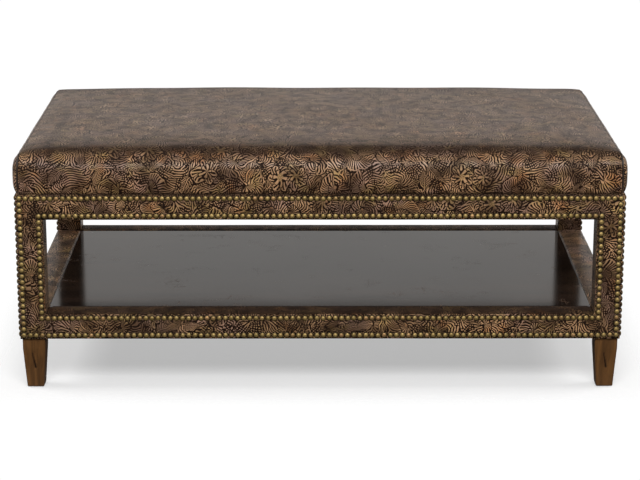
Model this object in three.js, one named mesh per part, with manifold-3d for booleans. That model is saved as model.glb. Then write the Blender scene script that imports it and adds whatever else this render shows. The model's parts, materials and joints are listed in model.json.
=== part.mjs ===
// A low upholstered footstool: a padded leather seat on an open leather-covered frame, with a wooden shelf
// lying in the lower frame and four tapered feet.
// Millimetres, +X right, +Y back, +Z up; the origin lies on the floor under the middle of the stool.

import * as THREE from 'three';
import { mergeVertices } from 'three/addons/utils/BufferGeometryUtils.js';
import Module from 'manifold-3d';

const wasm = await Module();
wasm.setup();

// Driving dimensions
const frameWidth = 1220;
const frameDepth = 711;
const footHeight = 107;
const railHeight = 53;
const bayHeight = 197;
const postSize = 54;

// Leather over the wood, and the room left between two pieces that touch
const leather = 1.5;
const fit = 0.3;
const softFit = 0.5;
const leatherEdgeRadius = 2.5;

// Mortise and tenon joints between rails and posts
const tenonHeight = 34;
const tenonThickness = 12;
const mortiseWall = 2;

// Feet, their hanger bolts and nail-on glides
const footTop = 46;
const footToe = 34;
const footShoulder = 22;
const footChamfer = 1.6;
const boltDiameter = 8;
const boltInPost = 44;
const boltInFoot = 30;
const boreTipRoom = 2;
const glideDiameter = 24;
const glideThickness = 1.5;
const glideRim = 0.6;
const glideNailDiameter = 3;
const glideNailLength = 15;

// Shelf and the cleats that carry it
const shelfThickness = 18;
const shelfEase = 1.5;
const cleatWidth = 20;
const cleatHeight = 20;

// Inside the top frame
const blockLeg = 72;
const blockHeight = 32;
const screwInset = 26;
const screwDiameter = 6;
const screwHeadDiameter = 13;
const screwHeadHeight = 4;
const screwIntoDeck = 9;
const crossRailWidth = 45;
const crossRailHeight = 42;
const dustCoverThickness = 0.8;
const dustCoverMargin = 12;

// Seat: deck board, foam, polyester wrap, leather cover and the welts of its side seams
const deckThickness = 12;
const wrapThickness = 6;
const seatEdgeHeight = 88;
const seatCrown = 2;
const seatSetback = 2;
const seatSideSetback = 3.5;
const waterfallDepth = 75;
const waterfallHeight = 61;
const waterfallFullness = 2.6;
const cornerFill = 8;
const cornerFillLength = 45;
const foldWidth = 30;
const foldRadius = 3;
const faceLeanDegrees = 16;
const faceRoll = 4;
const sideBulge = 10;
const sideBulgeReach = 24;
const sideBulgeRise = 36;
const sideRoll = 8;
const sideRollLength = 18;
const sideCrown = 5;
const seamInset = 6.5;
const seamPullIn = 1.5;
const weltDiameter = 4.5;

// Smoothness of the curved pieces
const roundSides = 16;
const smallRoundSides = 12;
const edgeSteps = 3;
const foldSteps = 2;
const faceSteps = 2;
const waterfallSteps = 7;
const topSteps = 4;
const weltSides = 8;
const acrossShares = [0, 0.3, 0.6, 0.8, 0.9, 0.95, 0.975, 0.99, 1];
const sideRingShares = [0, 0.08, 0.2, 0.38, 0.64, 1];

// Cut-outs run past the surface that they open into by this much
const overrun = 5;

// Levels and places that follow from the sizes above
const lowerRailTop = footHeight + railHeight;
const upperRailBottom = lowerRailTop + bayHeight;
const frameTop = upperRailBottom + railHeight;
const cover = leather + fit;
const coreSize = postSize - 2 * cover;
const railCoreHeight = railHeight - 2 * cover;
const innerWidth = frameWidth - 2 * postSize;
const innerDepth = frameDepth - 2 * postSize;
const tenonReach = postSize / 2 - tenonThickness / 2 - mortiseWall;
const quarter = Math.PI / 2;

const finish = {
  leather: { color: 0x6b4c34, roughness: 0.5, metalness: 0 },
  welt: { color: 0x3a2415, roughness: 0.5, metalness: 0 },
  frameWood: { color: 0xb89a6c, roughness: 0.8, metalness: 0 },
  plywood: { color: 0xc4a877, roughness: 0.8, metalness: 0 },
  footWood: { color: 0x4c331f, roughness: 0.4, metalness: 0 },
  shelfWood: { color: 0x2b211c, roughness: 0.25, metalness: 0 },
  steel: { color: 0x9a9a98, roughness: 0.4, metalness: 1 },
  glide: { color: 0x55504a, roughness: 0.7, metalness: 0 },
  foam: { color: 0xe8dfb8, roughness: 0.95, metalness: 0 },
  wrap: { color: 0xf2f2ee, roughness: 1, metalness: 0 },
  cambric: { color: 0x1b1b1c, roughness: 0.95, metalness: 0 },
};

// A closed geometry as a solid that can be joined and cut
function solidOf(geometry) {
  const bare = geometry.clone();
  bare.deleteAttribute('normal');
  bare.deleteAttribute('uv');
  const merged = mergeVertices(bare);
  const mesh = new wasm.Mesh({
    numProp: 3,
    vertProperties: new Float32Array(merged.attributes.position.array),
    triVerts: new Uint32Array(merged.index.array),
  });
  return new wasm.Manifold(mesh);
}

function geometryOf(solid) {
  const mesh = solid.getMesh();
  const geometry = new THREE.BufferGeometry();
  geometry.setAttribute('position', new THREE.BufferAttribute(mesh.vertProperties, 3));
  geometry.setIndex(new THREE.BufferAttribute(mesh.triVerts, 1));
  geometry.computeVertexNormals();
  return geometry;
}

// The first geometry with the others cut out of it
function cut(geometry, cutters) {
  let solid = solidOf(geometry);
  for (const cutter of cutters) {
    solid = solid.subtract(solidOf(cutter));
  }
  return geometryOf(solid);
}

function join(first, second) {
  return geometryOf(solidOf(first).add(solidOf(second)));
}

function block(sizeX, sizeY, sizeZ, x, y, z) {
  return new THREE.BoxGeometry(sizeX, sizeY, sizeZ).translate(x, y, z);
}

// An upright round bar from one level to another
function roundBar(diameter, bottom, top, sides) {
  const geometry = new THREE.CylinderGeometry(diameter / 2, diameter / 2, top - bottom, sides);
  return geometry.rotateX(quarter).translate(0, 0, (bottom + top) / 2);
}

// A rectangle with rounded corners as an outline, and as a hole in one
function roundedOutline(sizeA, sizeB, radius, target) {
  const a = sizeA / 2;
  const b = sizeB / 2;
  target.moveTo(radius - a, -b);
  target.lineTo(a - radius, -b);
  target.absarc(a - radius, radius - b, radius, -quarter, 0, false);
  target.lineTo(a, b - radius);
  target.absarc(a - radius, b - radius, radius, 0, quarter, false);
  target.lineTo(radius - a, b);
  target.absarc(radius - a, b - radius, radius, quarter, 2 * quarter, false);
  target.lineTo(-a, radius - b);
  target.absarc(radius - a, radius - b, radius, 2 * quarter, 3 * quarter, false);
  return target;
}

// An upright bar of rounded section, or a tube of the leather's thickness with the same outside
function uprightBar(sizeA, sizeB, radius, length, wall) {
  const shape = roundedOutline(sizeA, sizeB, radius, new THREE.Shape());
  if (wall > 0) {
    shape.holes.push(roundedOutline(sizeA - 2 * wall, sizeB - 2 * wall, radius - wall, new THREE.Path()));
  }
  const geometry = new THREE.ExtrudeGeometry(shape, {
    depth: length,
    bevelEnabled: false,
    curveSegments: edgeSteps,
  });
  return geometry.translate(0, 0, -length / 2);
}

// The same laid down along X, with its section's first size across Y and the second up Z
function lyingBar(sizeA, sizeB, radius, length, wall) {
  const lay = new THREE.Matrix4().makeBasis(
    new THREE.Vector3(0, 1, 0),
    new THREE.Vector3(0, 0, 1),
    new THREE.Vector3(1, 0, 0),
  );
  return uprightBar(sizeA, sizeB, radius, length, wall).applyMatrix4(lay);
}

// A closed skin over rings of equally many points, each end closed by a strip across its ring.
// Each four-sided patch is split along its shorter diagonal, so that layers bend alike.
function loft(rings) {
  const count = rings[0].length;
  const points = rings.flat();
  const faces = [];
  for (let row = 0; row + 1 < rings.length; row += 1) {
    for (let i = 0; i < count; i += 1) {
      const a = row * count + i;
      const b = row * count + ((i + 1) % count);
      const c = b + count;
      const d = a + count;
      if (points[a].distanceTo(points[c]) < points[b].distanceTo(points[d])) {
        faces.push([a, b, c], [a, c, d]);
      } else {
        faces.push([a, b, d], [b, c, d]);
      }
    }
  }
  const last = (rings.length - 1) * count;
  for (let i = 0; i + 1 < count / 2; i += 1) {
    const j = count - 1 - i;
    faces.push([i, j, i + 1], [i + 1, j, j - 1]);
    faces.push([last + i, last + i + 1, last + j], [last + i + 1, last + j - 1, last + j]);
  }
  const geometry = new THREE.BufferGeometry().setFromPoints(points);
  geometry.setIndex(faces.flat());
  if (signedVolume(geometry) < 0) {
    geometry.setIndex(faces.map(([a, b, c]) => [a, c, b]).flat());
  }
  geometry.computeVertexNormals();
  return geometry;
}

function signedVolume(geometry) {
  const position = geometry.attributes.position;
  const index = geometry.index;
  const a = new THREE.Vector3();
  const b = new THREE.Vector3();
  const c = new THREE.Vector3();
  let volume = 0;
  for (let i = 0; i < index.count; i += 3) {
    a.fromBufferAttribute(position, index.getX(i));
    b.fromBufferAttribute(position, index.getX(i + 1));
    c.fromBufferAttribute(position, index.getX(i + 2));
    volume += a.dot(b.cross(c)) / 6;
  }
  return volume;
}

function piece(name, geometry, look) {
  const mesh = new THREE.Mesh(geometry, new THREE.MeshStandardMaterial(look));
  mesh.name = name;
  return mesh;
}

// Corner posts: each corner group stands on the floor under its post, with the stool's inside towards its
// own -X and -Y
const cornerNames = ['back_right', 'back_left', 'front_left', 'front_right'];
const postMiddle = footHeight + (frameTop - footHeight) / 2;
const railMiddles = [footHeight + railHeight / 2, upperRailBottom + railHeight / 2];

// Room for the four tenons that enter a post from its two inner faces
function tenonRooms(reachIn) {
  const rooms = [];
  const thickness = tenonThickness + 2 * fit;
  const height = tenonHeight + 2 * fit;
  const start = postSize / 2 + overrun;
  const end = postSize / 2 - reachIn;
  for (const level of railMiddles) {
    rooms.push(block(start - end, thickness, height, -(start + end) / 2, 0, level));
    rooms.push(block(thickness, start - end, height, 0, -(start + end) / 2, level));
  }
  return rooms;
}

function postCore() {
  const radius = leatherEdgeRadius - cover;
  const wood = uprightBar(coreSize, coreSize, radius, frameTop - footHeight, 0);
  const boreTop = footHeight + boltInPost + boreTipRoom;
  const bore = roundBar(boltDiameter + 2 * fit, footHeight - overrun, boreTop, roundSides);
  return cut(wood.translate(0, 0, postMiddle), [...tenonRooms(tenonReach + fit), bore]);
}

function postLeather() {
  const sleeve = uprightBar(postSize, postSize, leatherEdgeRadius, frameTop - footHeight, leather);
  return cut(sleeve.translate(0, 0, postMiddle), tenonRooms(cover));
}

function footRing(size, z) {
  const half = size / 2;
  const eased = half - footChamfer;
  const points = [];
  for (let side = 0; side < 4; side += 1) {
    const turn = side * quarter;
    for (const along of [-eased, eased]) {
      points.push(new THREE.Vector3(half, along, z).applyAxisAngle(new THREE.Vector3(0, 0, 1), turn));
    }
  }
  return points;
}

function foot() {
  const bottom = glideThickness + fit;
  const top = footHeight - fit;
  const body = loft([
    footRing(footToe, bottom),
    footRing(footTop, top - footShoulder),
    footRing(footTop, top),
  ]);
  const boltBoreBottom = footHeight - boltInFoot - boreTipRoom;
  const boltBore = roundBar(boltDiameter + 2 * fit, boltBoreBottom, top + overrun, roundSides);
  const nailBoreTop = glideThickness + glideNailLength + boreTipRoom;
  const nailBore = roundBar(glideNailDiameter + 2 * fit, bottom - overrun, nailBoreTop, smallRoundSides);
  return cut(body, [boltBore, nailBore]);
}

// A round pad with an eased rim and the nail that is driven into the foot
function glide() {
  const rim = glideDiameter / 2;
  const nail = glideNailDiameter / 2;
  const tip = glideThickness + glideNailLength;
  const profile = [
    new THREE.Vector2(0, 0),
    new THREE.Vector2(rim - glideRim, 0),
    new THREE.Vector2(rim, glideRim),
    new THREE.Vector2(rim, glideThickness),
    new THREE.Vector2(nail, glideThickness),
    new THREE.Vector2(nail, tip - nail),
    new THREE.Vector2(0, tip),
  ];
  return new THREE.LatheGeometry(profile, roundSides).rotateX(quarter);
}

function footBolt() {
  return roundBar(boltDiameter, footHeight - boltInFoot, footHeight + boltInPost, smallRoundSides);
}

// The three-cornered block glued between two top rails, bored for the screw that holds the seat
const screwAt = postSize / 2 + fit + screwInset;
const deckBottom = frameTop + fit + cover;
const blockTop = frameTop - fit;

function cornerBlock() {
  const inner = -(postSize / 2 + fit);
  const shape = new THREE.Shape();
  shape.moveTo(inner, inner);
  shape.lineTo(inner - blockLeg, inner);
  shape.lineTo(inner, inner - blockLeg);
  shape.closePath();
  const wood = new THREE.ExtrudeGeometry(shape, { depth: blockHeight, bevelEnabled: false });
  const bottom = blockTop - blockHeight;
  const bore = roundBar(screwDiameter + 2 * fit, bottom - overrun, blockTop + overrun, smallRoundSides);
  return cut(wood.translate(0, 0, bottom), [bore.translate(-screwAt, -screwAt, 0)]);
}

function seatScrew() {
  const headTop = blockTop - blockHeight - fit;
  const tip = deckBottom + screwIntoDeck;
  const head = screwHeadDiameter / 2;
  const shank = screwDiameter / 2;
  const profile = [
    new THREE.Vector2(0, headTop - screwHeadHeight),
    new THREE.Vector2(head - screwHeadHeight / 2, headTop - screwHeadHeight),
    new THREE.Vector2(head, headTop - screwHeadHeight / 2),
    new THREE.Vector2(head, headTop),
    new THREE.Vector2(shank, headTop),
    new THREE.Vector2(shank, tip - shank),
    new THREE.Vector2(0, tip),
  ];
  const screw = new THREE.LatheGeometry(profile, smallRoundSides).rotateX(quarter);
  return screw.translate(-screwAt, -screwAt, 0);
}

const cornerX = (frameWidth - postSize) / 2;
const cornerY = (frameDepth - postSize) / 2;
const cornerSigns = [[1, 1], [-1, 1], [-1, -1], [1, -1]];

function corner(turn) {
  const group = new THREE.Group();
  const name = cornerNames[turn];
  group.add(piece(`foot_${name}`, foot(), finish.footWood));
  group.add(piece(`foot_glide_${name}`, glide(), finish.glide));
  group.add(piece(`foot_bolt_${name}`, footBolt(), finish.steel));
  group.add(piece(`post_${name}`, postCore(), finish.frameWood));
  group.add(piece(`post_leather_${name}`, postLeather(), finish.leather));
  group.add(piece(`corner_block_${name}`, cornerBlock(), finish.frameWood));
  group.add(piece(`seat_screw_${name}`, seatScrew(), finish.steel));
  group.position.set(cornerSigns[turn][0] * cornerX, cornerSigns[turn][1] * cornerY, 0);
  group.rotation.z = turn * quarter;
  return group;
}

// Rails: each side group lies at its rail's middle, with the stool's inside towards its own +Y
const sides = [
  { name: 'front', length: innerWidth, out: cornerY },
  { name: 'right', length: innerDepth, out: cornerX },
  { name: 'back', length: innerWidth, out: cornerY },
  { name: 'left', length: innerDepth, out: cornerX },
];

function railCore(length) {
  const wood = lyingBar(coreSize, railCoreHeight, leatherEdgeRadius - cover, length - 2 * fit, 0);
  const tenons = block(length + 2 * tenonReach, tenonThickness, tenonHeight, 0, 0, 0);
  return join(wood, tenons);
}

function railLeather(length) {
  return lyingBar(postSize, railHeight, leatherEdgeRadius, length - 2 * fit, leather);
}

function side(turn) {
  const { name, length, out } = sides[turn];
  const group = new THREE.Group();
  const levels = { bottom: railMiddles[0], top: railMiddles[1] };
  for (const [level, z] of Object.entries(levels)) {
    const core = piece(`${level}_rail_${name}`, railCore(length), finish.frameWood);
    const skin = piece(`${level}_rail_leather_${name}`, railLeather(length), finish.leather);
    core.position.z = z;
    skin.position.z = z;
    group.add(core, skin);
  }
  const endRoom = turn % 2 === 0 ? fit : cleatWidth + 2 * fit;
  const cleat = piece(
    `shelf_cleat_${name}`,
    block(length - 2 * endRoom, cleatWidth, cleatHeight, 0, 0, 0),
    finish.frameWood,
  );
  cleat.position.y = postSize / 2 + fit + cleatWidth / 2;
  cleat.position.z = lowerRailTop - shelfThickness - fit - cleatHeight / 2;
  group.add(cleat);
  group.rotation.z = turn * quarter;
  group.position.set(out * Math.sin(turn * quarter), -out * Math.cos(turn * quarter), 0);
  return group;
}

function shelfBoard() {
  const sizeX = innerWidth - 2 * (fit + shelfEase);
  const sizeY = innerDepth - 2 * (fit + shelfEase);
  const shape = new THREE.Shape();
  shape.moveTo(-sizeX / 2, -sizeY / 2);
  shape.lineTo(sizeX / 2, -sizeY / 2);
  shape.lineTo(sizeX / 2, sizeY / 2);
  shape.lineTo(-sizeX / 2, sizeY / 2);
  shape.closePath();
  const board = new THREE.ExtrudeGeometry(shape, {
    depth: shelfThickness - 2 * shelfEase,
    bevelSize: shelfEase,
    bevelThickness: shelfEase,
    bevelSegments: 1,
  });
  return board.translate(0, 0, lowerRailTop - shelfThickness + shelfEase);
}

function crossRail() {
  const top = deckBottom - fit;
  const length = innerDepth - 2 * fit;
  return block(crossRailWidth, length, crossRailHeight, 0, 0, top - crossRailHeight / 2);
}

// Thin cloth closing the underside of the top frame, cut out round the posts
function dustCover() {
  const sizeX = frameWidth - 2 * dustCoverMargin;
  const sizeY = frameDepth - 2 * dustCoverMargin;
  const z = upperRailBottom - fit - dustCoverThickness / 2;
  const notch = 2 * (postSize - dustCoverMargin + fit);
  const notches = cornerSigns.map(([signX, signY]) => (
    block(notch, notch, overrun, (signX * sizeX) / 2, (signY * sizeY) / 2, z)
  ));
  return cut(block(sizeX, sizeY, dustCoverThickness, 0, 0, z), notches);
}

// Seat, measured up from the top of the frame in a group of its own.
// Its outside is a row of stations over the front, top and back, each with its place, its outward
// direction, the half width at the side seams, and how far it is up the leaning face and then through the
// waterfall edge, both from 0 to 1.
const seatFace = frameDepth / 2 - seatSetback;
const seatBase = fit;
const faceLean = THREE.MathUtils.degToRad(faceLeanDegrees);
const faceStart = seatBase + foldRadius * (1 - Math.sin(faceLean));
const deckUnder = deckBottom - frameTop;
const foamBottom = deckUnder + deckThickness + fit;
const waterfallStart = seatEdgeHeight - waterfallHeight;
const faceBulge = (Math.tan(faceLean) * (waterfallStart - faceStart)) / 2;
const topReach = seatFace + faceBulge - waterfallDepth;
const halfWidthBelow = frameWidth / 2 - seatSideSetback;
const halfWidthCorner = frameWidth / 2 - seamInset;

// The rounded bottom edge, from the fold under the deck (0) to the face (1)
function edgeStation(share) {
  const angle = share * (quarter - faceLean);
  const outY = -Math.sin(angle);
  const outZ = -Math.cos(angle);
  const y = foldRadius * (Math.cos(faceLean) + outY) - seatFace;
  return { y, z: seatBase + foldRadius * (1 + outZ), outY, outZ, half: halfWidthBelow, rise: 0, turn: 0 };
}

// The face leans out from its bottom edge and is upright where the waterfall edge starts
function faceStation(z) {
  const rise = (z - faceStart) / (waterfallStart - faceStart);
  const y = -seatFace - faceBulge * rise * (2 - rise);
  return { y, z, outY: -1, outZ: 0, half: halfWidthBelow, rise, turn: 0 };
}

// The waterfall edge, fuller than an ellipse, from the face (0) to the top (1)
function waterfallStation(share) {
  const back = Math.cos(share * quarter);
  const up = Math.sin(share * quarter);
  const bend = 2 / waterfallFullness;
  const y = -topReach - waterfallDepth * back ** bend;
  const z = waterfallStart + waterfallHeight * up ** bend;
  const outY = -(back ** (2 - bend)) / waterfallDepth;
  const outZ = up ** (2 - bend) / waterfallHeight;
  const reach = Math.hypot(outY, outZ);
  const half = halfWidthBelow + (halfWidthCorner - halfWidthBelow) * share;
  return { y, z, outY: outY / reach, outZ: outZ / reach, half, rise: 1, turn: share };
}

function topStation(share) {
  const y = -topReach * share;
  const middle = 1 - share * share;
  const z = seatEdgeHeight + seatCrown * middle;
  return { y, z, outY: 0, outZ: 1, half: halfWidthCorner - seamPullIn * middle, rise: 1, turn: 1 };
}

function foldStations() {
  const stations = [{ ...edgeStation(0), y: foldWidth - seatFace }];
  for (let step = 0; step < foldSteps; step += 1) {
    stations.push(edgeStation(step / foldSteps));
  }
  return stations;
}

function frontStations(start) {
  const stations = [faceStation(start)];
  if (start < foamBottom) {
    stations.push(faceStation(foamBottom));
  }
  for (let step = 1; step < faceSteps; step += 1) {
    stations.push(faceStation(foamBottom + ((waterfallStart - foamBottom) * step) / faceSteps));
  }
  for (let step = 0; step < waterfallSteps; step += 1) {
    stations.push(waterfallStation(step / waterfallSteps));
  }
  for (let step = topSteps; step > 0; step -= 1) {
    stations.push(topStation(step / topSteps));
  }
  return stations;
}

// The front half, the middle of the top, and the front half mirrored to the back
function seatStations(start, withFolds) {
  const half = [...(withFolds ? foldStations() : []), ...frontStations(start)];
  const mirrored = half.map((station) => ({ ...station, y: -station.y, outY: -station.outY }));
  return [...half, topStation(0), ...mirrored.reverse()];
}

// Where the cover's outside, or a layer so deep under it, lies at a station and a place across the seat.
// The top falls and the faces fall back towards the side seams, near which the waterfall edge is fullest.
function seatPoint(station, x, inset) {
  const share = Math.abs(x) / station.half;
  const roll = Math.exp((Math.abs(x) - station.half) / sideRollLength);
  const upward = Math.max(0, station.outZ) ** 2;
  const outward = station.outY ** 2;
  const fall = sideCrown * share ** 2.2 + sideRoll * roll;
  const tuck = faceRoll * roll * Math.sin(station.rise * quarter);
  const nearCorner = Math.exp((Math.abs(x) - station.half) / cornerFillLength);
  const fill = cornerFill * nearCorner * Math.sin(station.turn * 2 * quarter) ** 2;
  const move = fill - tuck * outward - fall * upward - inset;
  return new THREE.Vector3(x, station.y + station.outY * move, station.z + station.outZ * move);
}

const acrossStations = [
  ...acrossShares.slice(1).reverse().map((share) => -share),
  ...acrossShares,
];

// The places across run out to the side seams, less some room at the last one
function acrossX(half, across, endRoom) {
  return Math.sign(across) * Math.min(Math.abs(across) * half, half - endRoom);
}

// A layer over the front, top and back, from one depth under the cover's outside to another
function seatLayer(stations, endRoom, outer, inner) {
  const rings = acrossStations.map((across) => {
    const at = (station, inset) => seatPoint(station, acrossX(station.half, across, endRoom), inset);
    const outside = stations.map((station) => at(station, outer));
    const inside = stations.map((station) => at(station, inner));
    return [...outside, ...inside.reverse()];
  });
  return loft(rings);
}

// The outline of the seat's end near a side seam, closed along its bottom
function endOutline(stations, toSeam, inset, bottom) {
  const outline = stations.map((station) => {
    const point = seatPoint(station, station.half - toSeam, inset);
    return { y: point.y, z: point.z, half: station.half };
  });
  const first = outline[0];
  const last = outline[outline.length - 1];
  if (first.z > bottom) {
    outline.unshift({ ...first, z: bottom });
    outline.push({ ...last, z: bottom });
  }
  outline.push({ y: 0, z: bottom, half: halfWidthBelow });
  return outline;
}

// A ring of the swelling end, from its outline (0) in to where the swell is full (1)
function endRing(outline, share, sign, inset) {
  const middle = (seatBase + seatEdgeHeight) / 2;
  const acrossKept = 1 - (share * sideBulgeReach) / seatFace;
  const upKept = 1 - (share * sideBulgeRise) / (seatEdgeHeight - middle);
  return outline.map(({ y, z, half }) => {
    const flat = halfWidthBelow + (half - halfWidthBelow) * (1 - share) ** 2;
    const x = flat + sideBulge * (1 - (1 - share) ** 3) - inset;
    return new THREE.Vector3(sign * x, y * acrossKept, middle + (z - middle) * upKept);
  });
}

function coverMain() {
  return seatLayer(seatStations(faceStart, true), weltDiameter + fit, 0, leather);
}

function paddingWrap() {
  const outer = leather + softFit;
  return seatLayer(seatStations(faceStart, false), weltDiameter + 2 * fit, outer, outer + wrapThickness);
}

function foamCore() {
  const depthUnder = leather + 2 * softFit + wrapThickness;
  const endRoom = leather + softFit;
  const stations = seatStations(foamBottom, false);
  const outline = endOutline(stations, endRoom, depthUnder, foamBottom);
  const middleRings = acrossStations.map((across) => {
    const ring = stations.map((station) => (
      seatPoint(station, acrossX(station.half, across, endRoom), depthUnder)
    ));
    ring.push(new THREE.Vector3(acrossX(halfWidthBelow, across, endRoom), 0, foamBottom));
    return ring;
  });
  const leftEnd = sideRingShares.slice(1).map((share) => endRing(outline, share, -1, endRoom));
  const rightEnd = sideRingShares.slice(1).map((share) => endRing(outline, share, 1, endRoom));
  return loft([...leftEnd.reverse(), ...middleRings, ...rightEnd]);
}

// A side panel of the cover, swelling past the frame, with its lower edge turned in under the deck
function coverSide(sign) {
  const stations = seatStations(faceStart, false);
  const outline = endOutline(stations, weltDiameter / 2, weltDiameter + fit, seatBase);
  const outside = sideRingShares.map((share) => endRing(outline, share, sign, 0));
  const inside = sideRingShares.map((share) => endRing(outline, share, sign, leather));
  const panel = loft([...outside.reverse(), ...inside]);
  const foldX = halfWidthBelow - leather / 2 - foldWidth / 2;
  const foldY = 2 * (seatFace - foldWidth - fit);
  const fold = block(foldWidth, foldY, leather, sign * foldX, 0, seatBase + leather / 2);
  return join(panel, fold);
}

// The covered cord sewn into a side seam, from the frame up over the seat and down again
function welt(sign) {
  const radius = weltDiameter / 2;
  const stations = seatStations(seatBase, false);
  const rings = stations.map((station) => {
    const centre = seatPoint(station, sign * (station.half - radius), radius);
    const ring = [];
    for (let i = 0; i < weltSides; i += 1) {
      const angle = (4 * quarter * i) / weltSides;
      const out = radius * Math.sin(angle);
      const x = centre.x + radius * Math.cos(angle);
      ring.push(new THREE.Vector3(x, centre.y + station.outY * out, centre.z + station.outZ * out));
    }
    return ring;
  });
  return loft(rings);
}

function seatDeck() {
  const sizeX = 2 * (halfWidthBelow - cover);
  const sizeY = 2 * (seatFace - leather - 2 * softFit - wrapThickness);
  const board = block(sizeX, sizeY, deckThickness, 0, 0, deckUnder + deckThickness / 2);
  const holeTop = deckUnder + screwIntoDeck + boreTipRoom;
  const holes = cornerSigns.map(([signX, signY]) => {
    const hole = roundBar(screwDiameter + 2 * fit, deckUnder - overrun, holeTop, smallRoundSides);
    return hole.translate(signX * (cornerX - screwAt), signY * (cornerY - screwAt), 0);
  });
  return cut(board, holes);
}

function seat() {
  const group = new THREE.Group();
  group.add(piece('seat_deck', seatDeck(), finish.plywood));
  group.add(piece('seat_foam', foamCore(), finish.foam));
  group.add(piece('seat_padding_wrap', paddingWrap(), finish.wrap));
  group.add(piece('seat_cover_main', coverMain(), finish.leather));
  for (const [name, sign] of [['left', -1], ['right', 1]]) {
    group.add(piece(`seat_cover_${name}`, coverSide(sign), finish.leather));
    group.add(piece(`seat_welt_${name}`, welt(sign), finish.welt));
  }
  group.position.z = frameTop;
  return group;
}

const footstool = new THREE.Group();
for (let turn = 0; turn < 4; turn += 1) {
  footstool.add(corner(turn));
  footstool.add(side(turn));
}
footstool.add(piece('shelf_board', shelfBoard(), finish.shelfWood));
footstool.add(piece('top_cross_rail', crossRail(), finish.frameWood));
footstool.add(piece('dust_cover', dustCover(), finish.cambric));
footstool.add(seat());

export default footstool;
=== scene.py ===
import json
import math
import random
from functools import cache

import bpy
import numpy as np
from bpy.props import FloatProperty, FloatVectorProperty, IntProperty, PointerProperty
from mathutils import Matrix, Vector
from mathutils.kdtree import KDTree


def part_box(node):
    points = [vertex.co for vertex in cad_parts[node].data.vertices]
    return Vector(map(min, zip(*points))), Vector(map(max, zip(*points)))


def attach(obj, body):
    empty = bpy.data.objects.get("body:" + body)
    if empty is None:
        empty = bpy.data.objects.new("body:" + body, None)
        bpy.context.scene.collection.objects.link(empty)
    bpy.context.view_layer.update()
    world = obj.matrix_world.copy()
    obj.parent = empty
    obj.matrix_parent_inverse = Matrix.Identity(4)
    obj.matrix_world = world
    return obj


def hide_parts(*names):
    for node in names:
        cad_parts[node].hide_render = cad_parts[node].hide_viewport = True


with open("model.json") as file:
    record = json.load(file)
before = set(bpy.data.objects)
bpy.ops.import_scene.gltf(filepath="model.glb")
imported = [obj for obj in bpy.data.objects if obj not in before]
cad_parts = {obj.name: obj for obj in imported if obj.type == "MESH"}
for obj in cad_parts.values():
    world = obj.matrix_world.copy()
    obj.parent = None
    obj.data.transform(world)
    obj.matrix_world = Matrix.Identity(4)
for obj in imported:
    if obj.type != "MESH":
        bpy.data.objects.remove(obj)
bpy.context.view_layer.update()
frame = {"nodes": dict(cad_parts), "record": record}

bl_info = {
    "name": "Tooled Leather Footstool",
    "version": (1, 0, 0),
    "blender": (4, 5, 0),
    "location": "3D View > Sidebar > Footstool",
    "description": "Builds a leather footstool with a nailed frame, a shelf and a padded seat",
    "category": "Add Mesh",
}

CORNERS = ("front_left", "front_right", "back_left", "back_right")
SIDES = ("front", "back", "left", "right")
MM = 0.001
FULL_TURN = 2 * math.pi

# Places read from the frame, which the defaults below start from
POST_LOW, POST_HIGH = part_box("post_leather_front_left")
FRAME_HALF_X = -POST_LOW.x
FRAME_HALF_Y = -POST_LOW.y
FRAME_TOP = POST_HIGH.z
FRAME_BOTTOM = POST_LOW.z
POST_SIZE = POST_HIGH.x - POST_LOW.x
LOWER_RAIL_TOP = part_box("bottom_rail_leather_front")[1].z
UPPER_RAIL_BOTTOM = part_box("top_rail_leather_front")[0].z
SEAT_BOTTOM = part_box("seat_cover_main")[0].z

# Leather on the frame: rounding of a bar's edges, and the reach of a rail's leather towards the posts'
EDGE_RADIUS = 2.5 * MM
JOINT_GAP = 0.28 * MM

# How far hand work is out of true
UNEVEN = 0.12 * MM

# How far on the flat hide some leather lies from that of the seat's top and the frame's front, in metres
SIDE_PANEL_HIDE = 2.0
BACK_HIDE = 3.0
WELT_HIDE = 3.0

# Heights above the frame's top, low and high: painted shade on the upper faces, gloss on the faces, painted
# shade on the top
FACE_PAINTED_SHADE = (16 * MM, 52 * MM)
EDGE_POLISH = (50 * MM, 66 * MM)
SEAT_TOP = (70 * MM, 84 * MM)


def length(label, text, default):
    """A size that the user can change, in metres."""
    return FloatProperty(name=label, description=text, default=default, min=0.0, precision=4, unit="LENGTH")


def colour(label, text, default):
    """A colour that the user can change."""
    return FloatVectorProperty(
        name=label, description=text, default=default, size=3, min=0.0, max=1.0, subtype="COLOR",
    )


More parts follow.
